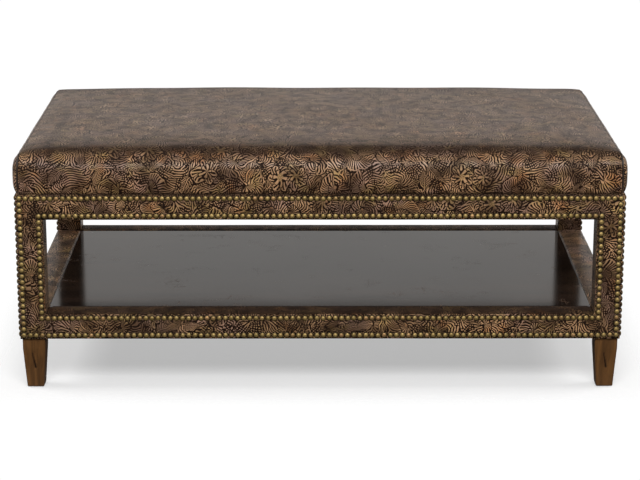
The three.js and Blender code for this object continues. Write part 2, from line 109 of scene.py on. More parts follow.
class SeatSizes(bpy.types.PropertyGroup):
    edge_height: length("Edge height", "Frame top to the crest along the front edge", 88 * MM)
    crown: length("Crown", "Further rise at the middle of the depth", 2 * MM)
    setback: length("Setback", "Bottom of the faces inside the frame", 2 * MM)
    side_setback: length("Side setback", "Bottom of the side panels inside the frame", 3.5 * MM)
    waterfall_depth: length("Waterfall depth", "How far back the rounded edge starts on the top", 75 * MM)
    waterfall_height: length("Waterfall height", "How far down the face the rounded edge ends", 61 * MM)
    fullness: FloatProperty(
        name="Fullness", description="2 is an elliptical edge, more is fuller", default=2.6, min=2.0,
    )
    corner_fill: length("Corner fill", "How much fuller the edge is at the side seams", 8 * MM)
    fill_length: length("Fill length", "How fast that fades along the edge", 45 * MM)
    fold: length("Fold", "Leather turned in under the seat deck", 30 * MM)
    fold_radius: length("Fold radius", "Radius of the bottom edge", 3 * MM)
    face_lean: FloatProperty(
        name="Face lean", description="Lean of the faces at their foot", default=math.radians(16),
        unit="ROTATION",
    )
    face_roll: length("Face roll", "How far the faces fall back at the side seams", 4 * MM)
    side_bulge: length("Side bulge", "Swell of the side panels", 10 * MM)
    bulge_reach: length("Bulge reach", "How far in from their ends the side panels swell", 24 * MM)
    bulge_rise: length("Bulge rise", "How far in from their top and bottom they swell", 36 * MM)
    side_roll: length("Side roll", "Fall of the top into the side seams", 8 * MM)
    roll_length: length("Roll length", "How fast the top falls into the side seams", 18 * MM)
    side_crown: length("Side crown", "Fall of the top from its middle to the sides", 5 * MM)
    seam_inset: length("Seam inset", "Side seam inside the frame at the corners", 6.5 * MM)
    seam_pull: length("Seam pull", "Further pull of the seam at mid depth", 1.5 * MM)
    welt: length("Welt", "Diameter of the covered cord in the side seams", 4.5 * MM)
    leather: length("Leather", "Thickness of the hide", 1.5 * MM)
    pucker: length("Pucker", "Height of the small pulls along the seams", 0.5 * MM)


class NailSizes(bpy.types.PropertyGroup):
    head: length("Head", "Diameter of a nail head", 12.0 * MM)
    rise: length("Rise", "Height of its dome", 3.6 * MM)
    pitch: length("Pitch", "Distance from nail to nail", 12.4 * MM)
    margin: length("Margin", "Nail centres inside the edge of the leather", 8.4 * MM)
    dimple: length("Dimple", "How deep a nail draws the leather in", 0.4 * MM)
    crown: length("Crown", "Swell of the leather on top of the lower rails", 1.8 * MM)
    swell: length("Swell", "Swell of the leather between two rows of nails", 1.8 * MM)
    swell_end: length("Swell end", "How far from the ends of a post or rail that fades", 16 * MM)
    wander: length("Wander", "How far a nail may stand out of line", 0.25 * MM)
    seed: IntProperty(name="Seed", description="Start of the random draws", default=7, min=0)


class WoodSizes(bpy.types.PropertyGroup):
    foot_ease: length("Foot ease", "Rounding of a foot's edges", 1.8 * MM)
    shelf_ease: length("Shelf ease", "Rounding of the shelf's edges", 1.5 * MM)
    gouge: length("Gouge", "Depth of the gouge in the front feet", 1.4 * MM)
    cloth_sag: length("Cloth sag", "How far the dust cover hangs at its middle", 5 * MM)


class Finishes(bpy.types.PropertyGroup):
    ridge: colour("Ridge", "Worn high parts of the tooled leather", (0.535, 0.31, 0.16))
    ground: colour("Ground", "Middle tone of the tooled leather", (0.088, 0.043, 0.019))
    # groove is also the colour that the painted shade on the leather darkens towards
    groove: colour("Groove", "Dark dye in the cuts", (0.012, 0.005, 0.002))
    rust: colour("Rust", "Rust red patches", (0.55, 0.245, 0.092))
    gold: colour("Gold", "Golden patches", (0.53, 0.345, 0.118))
    violet: colour("Violet", "Purplish brown patches", (0.355, 0.21, 0.16))
    welt: colour("Welt", "Leather of the seam cord", (0.02, 0.012, 0.008))
    brass: colour("Brass", "Crowns of the nail heads", (0.48, 0.335, 0.125))
    copper: colour("Copper", "Crowns of the redder nail heads", (0.50, 0.29, 0.13))
    tarnish: colour("Tarnish", "Shoulders of the nail heads", (0.23, 0.155, 0.048))
    # the rims' near-black is partly patina and partly painted shade
    rim_patina_and_shade: colour("Patina", "Rims of the nail heads", (0.028, 0.018, 0.003))
    foot_light: colour("Foot light", "Light grain of the feet", (0.155, 0.07, 0.022))
    foot_dark: colour("Foot dark", "Dark grain of the feet", (0.066, 0.03, 0.01))
    shelf_light: colour("Shelf light", "Light grain of the shelf", (0.022, 0.013, 0.009))
    shelf_dark: colour("Shelf dark", "Dark grain of the shelf", (0.007, 0.0045, 0.0035))


# Shader nodes

class Wire:
    """A node's output. A sum or comparison with it adds a node to its tree.

    In a product or sum of a vector and a value the vector stands first.
    """

    def __init__(self, pen, socket):
        self.pen = pen
        self.socket = socket

    def sum(self, operation, *values):
        write = self.pen.math if self.socket.type == "VALUE" else self.pen.vector
        return write(operation, *values)

    def __add__(self, other):
        return self.sum("ADD", self, other)

    def __sub__(self, other):
        return self.sum("SUBTRACT", self, other)

    def __rsub__(self, other):
        return self.sum("SUBTRACT", other, self)

    def __mul__(self, other):
        return self.sum("MULTIPLY", self, other)

    def __truediv__(self, other):
        return self.sum("DIVIDE", self, other)

    def __rtruediv__(self, other):
        return self.sum("DIVIDE", other, self)

    def __abs__(self):
        return self.sum("ABSOLUTE", self)

    def __gt__(self, other):
        return self.sum("GREATER_THAN", self, other)

    def __lt__(self, other):
        return self.sum("LESS_THAN", self, other)


class Pen:
    """Writes nodes into a tree. Most calls add one node and give back its output."""

    def __init__(self, tree):
        self.tree = tree

    def feed(self, socket, value):
        """Links a wire to a socket, or sets the socket's own value."""
        if isinstance(value, Wire):
            self.tree.links.new(value.socket, socket)
        elif socket.type == "RGBA":
            socket.default_value = (*value, 1.0)
        elif socket.type == "VECTOR" and isinstance(value, float):
            socket.default_value = (value,) * 3
        else:
            socket.default_value = value

    def feeder(self, node):
        """A function that feeds a node's sockets by name, with _ for a space."""
        def put(**values):
            for key, value in values.items():
                self.feed(node.inputs[key.replace("_", " ")], value)

        return put

    def node(self, kind, inputs=None, **settings):
        """Adds a node, sets it up and feeds its sockets by name or number."""
        node = self.tree.nodes.new(kind)
        for key, value in settings.items():
            setattr(node, key, value)
        for key, value in (inputs or {}).items():
            self.feed(node.inputs[key], value)
        return node

    def wire(self, output, kind, inputs=None, **settings):
        """Adds a node and gives back one of its outputs."""
        return Wire(self, self.node(kind, inputs, **settings).outputs[output])

    def wires(self, node):
        """All outputs of a node by name."""
        return {socket.name: Wire(self, socket) for socket in node.outputs}

    def math(self, operation, *values, clamp=False):
        inputs = dict(enumerate(values))
        return self.wire(0, "ShaderNodeMath", inputs, operation=operation, use_clamp=clamp)

    def vector(self, operation, *values):
        output = "Value" if operation == "LENGTH" else "Vector"
        return self.wire(output, "ShaderNodeVectorMath", dict(enumerate(values)), operation=operation)

    def split(self, vector):
        return self.wires(self.node("ShaderNodeSeparateXYZ", {0: vector}))

    def most(self, *values):
        """The largest of some values."""
        largest = values[0]
        for value in values[1:]:
            largest = self.math("MAXIMUM", largest, value)
        return largest

    def ramp(self, value, low, high, smooth=True):
        """0 below low, 1 above high, or the other way round when high is the smaller."""
        flip = high < low
        inputs = {
            "Value": value,
            "From Min": min(low, high),
            "From Max": max(low, high),
            "To Min": float(flip),
            "To Max": float(not flip),
        }
        kind = "SMOOTHSTEP" if smooth else "LINEAR"
        return self.wire("Result", "ShaderNodeMapRange", inputs, interpolation_type=kind)

    def mix(self, factor, first, second):
        """A colour between two others."""
        return self.wire(2, "ShaderNodeMix", {0: factor, 6: first, 7: second}, data_type="RGBA")

    def blend(self, factor, first, second):
        """A value between two others."""
        return self.wire(0, "ShaderNodeMix", {0: factor, 2: first, 3: second}, data_type="FLOAT")

    def noise(self, vector, scale, detail=2.0, rough=0.5, output="Fac", dimensions="3D", warp=0.0):
        inputs = {
            "Vector": vector, "Scale": scale, "Detail": detail, "Roughness": rough, "Distortion": warp,
        }
        return self.wire(output, "ShaderNodeTexNoise", inputs, noise_dimensions=dimensions)

    def cells(self, vector, scale, feature="F1", randomness=1.0, dimensions="3D"):
        inputs = {"Vector": vector, "Scale": scale, "Randomness": randomness}
        settings = {"feature": feature, "voronoi_dimensions": dimensions}
        return self.wires(self.node("ShaderNodeTexVoronoi", inputs, **settings))

    def bump(self, height, distance, strength, under=None):
        inputs = {"Height": height, "Distance": distance, "Strength": strength}
        if under is not None:
            inputs["Normal"] = under
        return self.wire("Normal", "ShaderNodeBump", inputs)

    def flat(self, map_name):
        """Places on one of a piece's flat maps."""
        return self.wire("UV", "ShaderNodeUVMap", uv_map=map_name)

    def place(self):
        """Places in the stool's own frame."""
        return self.wire("Object", "ShaderNodeTexCoord")

    def use(self, group, **values):
        """Places a node group and gives back its outputs."""
        return self.wires(self.node("ShaderNodeGroup", values, node_tree=group))


def start_group(name, values, outputs):
    """A node group that takes a vector and named values and gives values.

    Gives back the tree, its pen, its inputs and a function that feeds its outputs.
    """
    tree = bpy.data.node_groups.new(name, "ShaderNodeTree")
    tree.interface.new_socket(name="Vector", in_out="INPUT", socket_type="NodeSocketVector")
    for socket, default in values.items():
        made = tree.interface.new_socket(name=socket, in_out="INPUT", socket_type="NodeSocketFloat")
        made.default_value = default
    for socket in outputs:
        tree.interface.new_socket(name=socket, in_out="OUTPUT", socket_type="NodeSocketFloat")
    pen = Pen(tree)
    inside = pen.wires(pen.node("NodeGroupInput"))
    return tree, pen, inside, pen.feeder(pen.node("NodeGroupOutput"))


@cache
def tooling_group():
    """Floral carving of a hide: petalled flowers and shells at scattered centres, leaves with veins between
    them, and curved strokes and beads over the ground. Lengths are in millimetres."""
    tree, pen, inside, put = start_group(
        "Hide Tooling",
        {"Motif": 60.0, "Leaf": 38.0, "Line": 4.8},
        ("Height", "Cut", "Shade", "Flower", "Burst"),
    )
    flat = inside["Vector"] * 1000.0
    place = flat
    for size, reach in ((52, 20.0), (13, 5.0)):
        drift = pen.noise(flat, 1 / size, 0.0, output="Color", dimensions="2D")
        place = place + (drift - 0.5) * reach
    per_motif = 1.0 / inside["Motif"]
    per_leaf = 1.0 / inside["Leaf"]

    def wave(phase):
        """A stroke for each whole step of the phase, 0 in the cut and 1 on the ridge."""
        return pen.math("MULTIPLY_ADD", pen.math("COSINE", phase * FULL_TURN), 1.6, 0.45, clamp=True)

    def line_at(distance, half_width):
        """1 on a line, 0 away from it."""
        return pen.ramp(abs(distance), half_width * 1.5, half_width * 0.5)

    def inked(room):
        """Soft edge of a form, from the distance inside its outline."""
        return pen.ramp(room, -0.3, 0.3)

    # Ground strokes run out from centres, then round them one way or the other
    smooth = pen.cells(place, per_motif, "SMOOTH_F1", 0.85, "2D")
    off = place - smooth["Position"]
    local = pen.split(off)
    turn = pen.math("ARCTAN2", local["Y"], local["X"])
    lean = pen.ramp(pen.split(smooth["Color"])["Z"], 0.33, 0.67, smooth=False) * 2.0 - 1.0
    curl = pen.ramp(pen.vector("LENGTH", off), 3.0, 30.0, smooth=False) * (0.42 * math.pi)
    direction = turn + math.pi / 2 - lean * curl
    pace = pen.ramp(pen.noise(flat + (500.0, 80.0, 0.0), 1 / 30, 1.0, dimensions="2D"), 0.35, 0.65)

    def strokes(coarseness, frequency, way, contrast, level):
        """Broken parallel strokes, 0 in the cut and 1 on the ridge."""
        inputs = {
            "Vector": flat,
            "Scale": 1 / coarseness / inside["Line"],
            "Frequency": frequency,
            "Anisotropy": 1.0,
            4: way,
        }
        value = pen.wire("Value", "ShaderNodeTexGabor", inputs, gabor_type="2D")
        return pen.math("MULTIPLY_ADD", value - 0.5, contrast, level, clamp=True)

    raised = strokes(3.4, pace * 0.9 + 2.9, direction, 26.0, 0.45)
    beaded = strokes(2.2, 2.3, direction + math.pi / 2, 20.0, 0.7)
    in_beads = pen.noise(flat + (40.0, 900.0, 0.0), 1 / 26, 1.0, dimensions="2D")
    raised = raised * pen.blend(pen.ramp(in_beads, 0.52, 0.60), 1.0, beaded)

    # Leaves: a bent midrib with veins that leave it slantwise inside a notched outline
    half_length = 22.0
    half_width = 9.5
    bend = 13.0
    notch = 1.3
    spot = place + (311.0, 177.0, 0.0)
    cell = pen.cells(spot, per_leaf, "F1", 0.8, "2D")
    chance = pen.split(cell["Color"])
    inputs = {"Vector": spot - cell["Position"], "Angle": chance["X"] * FULL_TURN}
    axes = pen.split(pen.wire(0, "ShaderNodeVectorRotate", inputs, rotation_type="Z_AXIS"))
    along = axes["X"] / half_length
    across = axes["Y"] - along * along * bend * (chance["Y"] - 0.5)
    from_rib = abs(across)
    veins = wave((from_rib * -1.25 + axes["X"]) / inside["Line"])
    swell = pen.most(1.0 - along * along, 0.0)
    within = swell * (half_width - along * 3.0) + veins * notch - from_rib
    here = (chance["Z"] > 0.32) * (swell > 0.02)
    leaf = pen.most(veins * pen.ramp(from_rib, 1.6, 2.6), line_at(across, 1.0))
    raised = pen.blend(pen.ramp(within, -0.2, 0.4) * here, raised, leaf)
    raised = raised * (1.0 - line_at(within + 0.9, 1.0) * here)

    # Flowers in two tiers of petals at some of the centres
    cell = pen.cells(place, per_motif, "F1", 0.8, "2D")
    chance = pen.split(cell["Color"])
    off = place - cell["Position"]
    spread = pen.vector("LENGTH", off)
    local = pen.split(off)
    is_flower = chance["Y"] > 0.62
    is_shell = chance["Y"] < 0.45
    twist = (chance["X"] - 0.5) * (is_shell * 0.03 + 0.05)
    angle = pen.math("ARCTAN2", local["Y"], local["X"]) + twist * spread
    turn = angle / FULL_TURN + chance["X"]
    petals = pen.math("FLOOR", chance["Z"] * 2.99) + 6.0

    def tier(shift, radius):
        """One ring of petals: the place across the nearest, and the distance inside its outline."""
        step = pen.math("FRACT", turn * petals + shift) - 0.5
        return step, step * step * (-1.3 * radius) + radius - spread

    outer, outer_room = tier(0.0, 25.0)
    inner, inner_room = tier(0.5, 15.5)
    star_room = tier(0.25, 7.2)[1]
    flower = pen.blend(inked(inner_room), wave(outer * 3.0), wave(inner))
    flower = flower * (1.0 - line_at(inner_room, 1.0))
    flower = pen.most(flower, line_at(outer_room - 1.7, 0.8))
    eye = pen.ramp(star_room, -0.3, 0.6) * is_flower
    dots = pen.ramp(pen.cells(flat, 1 / 2.4, "F1", 0.5, "2D")["Distance"], 0.75, 0.35)
    flower = pen.blend(eye, flower, pen.blend(dots, 0.45, 0.85))
    raised = pen.blend(inked(outer_room) * is_flower, raised, flower)

    # Shells of curved strokes at others, finer beyond their inner rim
    rim = 16.0
    fan = 31.0
    stem = 4.0
    opening = pen.ramp(pen.math("COSINE", angle - chance["Z"] * (2 * FULL_TURN)), -0.1, 0.6)
    shell = pen.blend(inked(spread - rim), wave(turn * 17.0), wave(turn * 33.0))
    shell = shell * (1.0 - line_at(spread - rim, 0.8))
    shell_room = opening * fan + stem - spread
    shell = pen.most(shell, line_at(shell_room - 1.7, 0.8))
    heart = pen.ramp(spread, 3.6, 1.8) * is_shell
    shell = pen.blend(heart, shell, 0.8)
    raised = pen.blend(inked(shell_room) * is_shell, raised, shell)
    edge = pen.most(line_at(outer_room + 1.0, 1.2) * is_flower, line_at(shell_room + 0.9, 1.1) * is_shell)
    raised = raised * (1.0 - edge)

    # Pebbles of the hide itself
    fine = pen.noise(flat, 1 / 1.9, 2.0, dimensions="2D")
    height = (fine - 0.5) * 0.45 + raised
    put(Height=height, Cut=pen.ramp(height, 0.72, 0.38), Shade=pen.ramp(height, 0.5, 0.95))
    put(Flower=eye, Burst=heart)
    return tree


@cache
def patches_group():
    """Slow patches of tint over a hide, each 0 to 1. Lengths are in millimetres."""
    tree, pen, inside, put = start_group("Hide Patches", {}, ("Rust", "Gold", "Violet", "Tone", "Shadow"))
    flat = inside["Vector"] * 1000.0
    for name, shift, size, low, high in (
        ("Rust", (0.0, 0.0, 0.0), 52, 0.55, 0.72),
        ("Gold", (900.0, 300.0, 0.0), 44, 0.50, 0.70),
        ("Violet", (200.0, 1700.0, 0.0), 75, 0.45, 0.62),
        ("Shadow", (5100.0, 300.0, 0.0), 95, 0.60, 0.40),
    ):
        put(**{name: pen.ramp(pen.noise(flat + shift, 1 / size), low, high)})
    put(Tone=pen.noise(flat + (2400.0, 700.0, 0.0), 1 / 34, 3.0))
    return tree


@cache
def hide_grain_group():
    """Fine pebbled grain of leather as a height."""
    tree, pen, inside, put = start_group("Hide Grain", {"Scale": 900.0}, ("Height", "Creases"))
    cell = pen.cells(inside["Vector"], inside["Scale"], "DISTANCE_TO_EDGE")
    creases = pen.ramp(cell["Distance"], 0.0, 0.16)
    put(Height=creases * pen.noise(inside["Vector"], 260.0, 3.0), Creases=creases)
    return tree


@cache
def wood_grain_group():
    """Long grain with pores, running along X of the given vector."""
    tree, pen, inside, put = start_group("Wood Grain", {"Figure": 30.0, "Pores": 900.0}, ("Shade", "Pore"))
    figure = pen.noise(inside["Vector"] * (0.12, 1.0, 1.0), inside["Figure"], 5.0, 0.62, warp=0.9)
    fine = pen.noise(inside["Vector"] * (0.03, 1.0, 1.0), inside["Pores"])
    put(Shade=pen.ramp(figure, 0.28, 0.72), Pore=pen.ramp(fine, 0.60, 0.72))
    return tree


@cache
def scuff_group():
    """Thin random scratches, long and short, and haze in a lacquer, 0 to 1."""
    tree, pen, inside, put = start_group("Lacquer Scuffs", {"Scale": 9.0}, ("Scratch", "Haze"))
    gate = pen.ramp(pen.noise(inside["Vector"], 14.0), 0.58, 0.64)
    lines = []
    for stretch in ((1.0, 14.0, 1.0), (12.0, 1.6, 1.0)):
        cell = pen.cells(inside["Vector"] * stretch, inside["Scale"], "DISTANCE_TO_EDGE")
        lines.append(pen.ramp(cell["Distance"], 0.018, 0.004) * gate)
    put(Scratch=pen.most(*lines), Haze=pen.noise(inside["Vector"], 5.0, 4.0))
    return tree


@cache
def weave_group():
    """Plain weave of a thin cloth as a height."""
    tree, pen, inside, put = start_group("Plain Weave", {"Threads": 900.0}, ("Height",))
    axes = pen.split(inside["Vector"] * inside["Threads"] * math.pi)
    put(Height=pen.most(*(abs(pen.math("SINE", axes[axis])) for axis in "XY")))
    return tree


def clear_tree(owner):
    """The pen for the emptied node tree of a material or world."""
    owner.use_nodes = True
    owner.node_tree.nodes.clear()
    return Pen(owner.node_tree)


def start_material(name, specular=0.5, metallic=0.0, coat_roughness=0.1):
    """A material with one Principled shader: itself, its pen and a function that feeds the shader."""
    made = bpy.data.materials.new(name)
    pen = clear_tree(made)
    inputs = {"Specular IOR Level": specular, "Metallic": metallic, "Coat Roughness": coat_roughness}
    shader = pen.node("ShaderNodeBsdfPrincipled", inputs)
    pen.node("ShaderNodeOutputMaterial", {"Surface": Wire(pen, shader.outputs[0])})
    return made, pen, pen.feeder(shader)


def tooled_leather(look):
    """Antiqued embossed leather on unrolled coordinates, under a thin clear finish that shows along it.

    The Wear map holds in U dark wax round the nails and painted shade where the seat meets the frame and
    along its crest, and in V dull leather with painted shade. The seat's top, most near its front and back
    edges, and the upper part of its faces carry painted shade too.
    """
    made, pen, put = start_material("tooled_leather", specular=0.15, coat_roughness=0.34)
    flat = pen.flat("Hide")
    wear = pen.split(pen.flat("Wear"))
    wax_and_shade = wear["X"]
    dull = wear["Y"]
    place = pen.split(pen.place())
    polish, seat_top, painted_face_shade = (
        pen.ramp(place["Z"], FRAME_TOP + low, FRAME_TOP + high)
        for low, high in (EDGE_POLISH, SEAT_TOP, FACE_PAINTED_SHADE)
    )
    # painted shade near the top's front and back edges, where its sheen is also made to fade
    in_front = pen.ramp(place["Y"], 0.17 - FRAME_HALF_Y, 0.02 - FRAME_HALF_Y)
    behind = pen.ramp(place["Y"], FRAME_HALF_Y - 0.14, FRAME_HALF_Y)
    painted_edge_shade = pen.most(in_front, behind * 0.3)
    tooling = pen.use(tooling_group(), Vector=flat)
    patches = pen.use(patches_group(), Vector=flat)
    grain = pen.use(hide_grain_group(), Vector=flat)
    tone = patches["Tone"]

    ridge = look.ridge
    for share, tint in (
        (patches["Violet"] * 0.7, look.violet),
        (patches["Gold"] * 0.65, look.gold),
        (patches["Rust"] * 0.8, look.rust),
        (tooling["Flower"] * 0.4, look.gold),
        (tooling["Burst"] * 0.45, look.rust),
    ):
        ridge = pen.mix(share, ridge, tint)
    ground = pen.mix(patches["Rust"] * 0.4, look.ground, look.rust)
    surface = pen.mix(tooling["Shade"], ground, ridge)
    surface = pen.mix(pen.ramp(tone, 0.55, 0.35) * 0.75, surface, look.ground)
    # painted shade on the seat's top, stronger near its front and back edges
    painted_top_shade = seat_top * pen.blend(painted_edge_shade, 0.50, 0.75)
    # random darker patches, together with the painted shade on the seat's top and on its upper faces
    shaded = pen.most(patches["Shadow"] * 0.45, painted_top_shade, painted_face_shade * 0.34)
    surface = pen.mix(shaded, surface, look.groove)
    # dark dye in the cuts, wax round the nails, and painted shade from both channels of the Wear map
    dark = pen.most(tooling["Cut"], wax_and_shade * 0.85, dull * 0.8)

    facing = pen.wire("Facing", "ShaderNodeLayerWeight", {"Blend": 0.5})
    gloss = pen.blend(dark, pen.blend(pen.ramp(tone, 0.38, 0.62), 0.1, 0.75), 0.0)
    gloss = gloss * pen.blend(polish, 0.35, 1.0)
    sheen = pen.blend(pen.ramp(tone, 0.35, 0.65), 0.66, 0.78)
    sheen = sheen * pen.blend(painted_edge_shade, 1.0, 0.35) * pen.blend(tooling["Cut"], 1.06, 0.78)
    kept = 1.0 - pen.most(pen.ramp(wax_and_shade, 0.3, 1.0), dull)
    rough = pen.blend(dark, 0.40, 0.75) + tone * 0.12
    put(
        Base_Color=pen.mix(dark, surface, look.groove),
        Coat_Weight=pen.blend(pen.ramp(facing, 0.5, 0.78), gloss, sheen) * kept,
        Roughness=pen.math("MULTIPLY_ADD", dull, 0.25, rough, clamp=True),
        Normal=pen.bump(tooling["Height"], 0.6 * MM, 0.9, pen.bump(grain["Height"], 0.12 * MM, 0.6)),
    )
    return made


def welt_leather(look):
    """Smooth dark leather drawn over a cord."""
    made, pen, put = start_material("welt_leather", specular=0.4)
    flat = pen.flat("Hide")
    grain = pen.use(hide_grain_group(), Vector=flat, Scale=1100.0)
    tone = pen.use(patches_group(), Vector=flat)["Tone"]
    worn = pen.mix(pen.ramp(tone, 0.45, 0.7), look.welt, look.ground)
    put(
        Base_Color=pen.mix(grain["Creases"], look.groove, worn),
        Roughness=pen.blend(tone, 0.42, 0.62),
        Normal=pen.bump(grain["Height"], 0.15 * MM, 0.7),
    )
    return made


def antique_brass(look):
    """Domed nail heads: U of their map is a chance value per nail and V rises from rim to crown."""
    made, pen, put = start_material("antique_brass")
    axes = pen.split(pen.flat("Nail"))
    place = pen.place()
    tint = pen.mix(pen.ramp(axes["X"], 0.8, 0.97), look.brass, look.copper)
    dull = pen.ramp(pen.math("FRACT", axes["X"] * 7.31), 0.4, 1.0)
    tint = pen.mix(dull * 0.5, tint, look.tarnish)
    blotch = pen.noise(place, 420.0, 3.0)
    up = (blotch - 0.5) * 0.3 + axes["Y"]
    body = pen.mix(pen.ramp(up, 0.45, 1.0), look.tarnish, tint)
    put(
        # towards the rim the colour goes near-black, partly patina and partly painted shade
        Base_Color=pen.mix(pen.ramp(up, 0.82, 0.36), body, look.rim_patina_and_shade),
        Metallic=pen.blend(pen.ramp(up, 0.2, 0.9), 0.3, 0.7),
        Roughness=pen.blend(pen.ramp(up, 0.9, 0.2), 0.46, 0.58) + blotch * 0.12,
        Normal=pen.bump(pen.noise(place, 900.0), 0.1 * MM, 0.35),
    )
    return made


def foot_wood(look):
    """Stained foot: the grain runs up it. The Wear map holds its edges in U and its gouge in V."""
    made, pen, put = start_material("foot_wood", specular=0.35)
    flat = pen.flat("Grain")
    mark = pen.split(pen.flat("Wear"))
    grain = pen.use(wood_grain_group(), Vector=flat, Figure=52.0, Pores=1400.0)
    scuffs = pen.use(scuff_group(), Vector=flat, Scale=26.0)
    stain = pen.mix(grain["Shade"], look.foot_dark, look.foot_light)
    stain = pen.mix(grain["Pore"] * 0.6, stain, look.shelf_dark)
    rubbed = mark["X"] * pen.ramp(scuffs["Haze"], 0.4, 0.6)
    stain = pen.mix(rubbed * 0.5, stain, look.foot_dark)
    put(
        Base_Color=pen.mix(mark["Y"], stain, look.groove),
        Roughness=pen.blend(scuffs["Haze"], 0.34, 0.5),
        Normal=pen.bump(grain["Shade"] - (grain["Pore"] + scuffs["Scratch"]), 0.12 * MM, 0.5),
    )
    return made


def shelf_lacquer(look):
    """Dark lacquered board that mirrors what stands behind it, with faint scuffs."""
    made, pen, put = start_material("shelf_lacquer", specular=0.3)
    place = pen.place()
    grain = pen.use(wood_grain_group(), Vector=place, Figure=26.0, Pores=1100.0)
    scuffs = pen.use(scuff_group(), Vector=place, Scale=7.0)
    stain = pen.mix(grain["Shade"], look.shelf_dark, look.shelf_light)
    put(
        Base_Color=pen.mix(scuffs["Scratch"] * 0.25, stain, look.foot_light),
        Roughness=scuffs["Haze"] * 0.1 + 0.07 + scuffs["Scratch"] * 0.2,
        Normal=pen.bump(grain["Shade"] * 0.25 - scuffs["Scratch"] * 0.75, 0.05 * MM, 0.3),
    )
    return made


def bare_wood(name, light, dark, figure=30.0):
    """Unfinished wood inside the stool."""
    made, pen, put = start_material(name, specular=0.2)
    shade = pen.use(wood_grain_group(), Vector=pen.place(), Figure=figure)["Shade"]
    put(
        Base_Color=pen.mix(shade, dark, light),
        Roughness=pen.blend(shade, 0.85, 0.65),
        Normal=pen.bump(shade, 0.2 * MM, 0.4),
    )
    return made


def black_cambric():
    """Thin black cloth under the top frame, a little dusty."""
    made, pen, put = start_material("black_cambric", specular=0.2)
    flat = pen.flat("Cloth")
    weave = pen.use(weave_group(), Vector=flat, Threads=700.0)["Height"]
    dust = pen.ramp(pen.noise(flat, 11.0, 4.0), 0.35, 0.75)
    thread = pen.mix(weave, (0.004, 0.004, 0.004), (0.016, 0.016, 0.017))
    put(
        Base_Color=pen.mix(dust * 0.35, thread, (0.05, 0.047, 0.043)),
        Roughness=pen.blend(dust, 0.8, 0.95),
        Normal=pen.bump(weave, 0.3 * MM, 0.6),
    )
    return made


def plated_steel():
    """Screws and hanger bolts."""
    made, pen, put = start_material("plated_steel", metallic=1.0)
    cloud = pen.noise(pen.place(), 160.0, 4.0)
    put(
        Base_Color=pen.mix(cloud, (0.42, 0.42, 0.41), (0.62, 0.62, 0.6)),
        Roughness=pen.blend(cloud, 0.25, 0.45),
    )
    return made


def glide_plastic():
    """Moulded pads under the feet."""
    made, pen, put = start_material("glide_plastic", specular=0.35)
    speck = pen.noise(pen.place(), 900.0, 3.0)
    put(
        Base_Color=pen.mix(speck, (0.05, 0.045, 0.04), (0.09, 0.08, 0.07)),
        Roughness=pen.blend(speck, 0.5, 0.7),
        Normal=pen.bump(speck, 0.1 * MM, 0.4),
    )
    return made


@cache
def material(slot_name):
    """The material of a slot, made once from the scene's colours."""
    look = bpy.context.scene.footstool_finishes
    makers = {
        "tooled_leather": lambda: tooled_leather(look),
        "welt_leather": lambda: welt_leather(look),
        "brass": lambda: antique_brass(look),
        "foot_wood": lambda: foot_wood(look),
        "shelf_wood": lambda: shelf_lacquer(look),
        "frame_wood": lambda: bare_wood("frame_wood", (0.42, 0.27, 0.13), (0.27, 0.15, 0.07)),
        "plywood": lambda: bare_wood("plywood", (0.5, 0.35, 0.19), (0.36, 0.23, 0.11), 18.0),
        "cambric": black_cambric,
        "steel": plated_steel,
        "glide": glide_plastic,
    }
    return makers[slot_name]()


# Mesh building

def bell(distance, width):
    """1 at no distance, fading to 0 on both sides."""
    return np.exp(-((distance / width) ** 2))


def eased(share):
    """A share from 0 to 1 with a soft start and end."""
    return share * share * (3 - 2 * share)


def new_piece(name, points, faces, slot_name, nodes, maps):
    """A mesh piece that rides on the stool and stands for the given frame nodes.

    maps holds map names and arrays with one (u, v) for each corner of each face.
    """
    mesh = bpy.data.meshes.new(name)
    mesh.from_pydata([tuple(point) for point in points], [], [tuple(int(i) for i in face) for face in faces])
    mesh.update()
    for map_name, corners in maps.items():
        layer = mesh.uv_layers.new(name=map_name)
        layer.data.foreach_set("uv", np.asarray(corners, dtype=np.float32).ravel())
    mesh.polygons.foreach_set("use_smooth", [True] * len(mesh.polygons))
    mesh.materials.append(material(slot_name))
    piece = bpy.data.objects.new(name, mesh)
    bpy.context.scene.collection.objects.link(piece)
    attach(piece, "root")
    if nodes:
        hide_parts(*nodes)
    return piece


def grid_faces(rows, columns, close_columns=False):
    """Four-sided faces over a grid of points, counted row by row."""
    last = columns if close_columns else columns - 1
    faces = []
    for row in range(rows - 1):
        for column in range(last):
            beside = (column + 1) % columns
            faces.append((
                row * columns + column,
                row * columns + beside,
                (row + 1) * columns + beside,
                (row + 1) * columns + column,
            ))
    return faces


def thicken(piece, thickness):
    """Gives a sheet its thickness inwards and makes it part of the mesh."""
    modifier = piece.modifiers.new("Thickness", "SOLIDIFY")
    modifier.thickness = thickness
    modifier.offset = -1.0
    graph = bpy.context.evaluated_depsgraph_get()
    mesh = bpy.data.meshes.new_from_object(piece.evaluated_get(graph))
    old = piece.data
    piece.modifiers.clear()
    piece.data = mesh
    bpy.data.meshes.remove(old)


# Seat cover: stations over the front, top and back, as in the frame's own cover

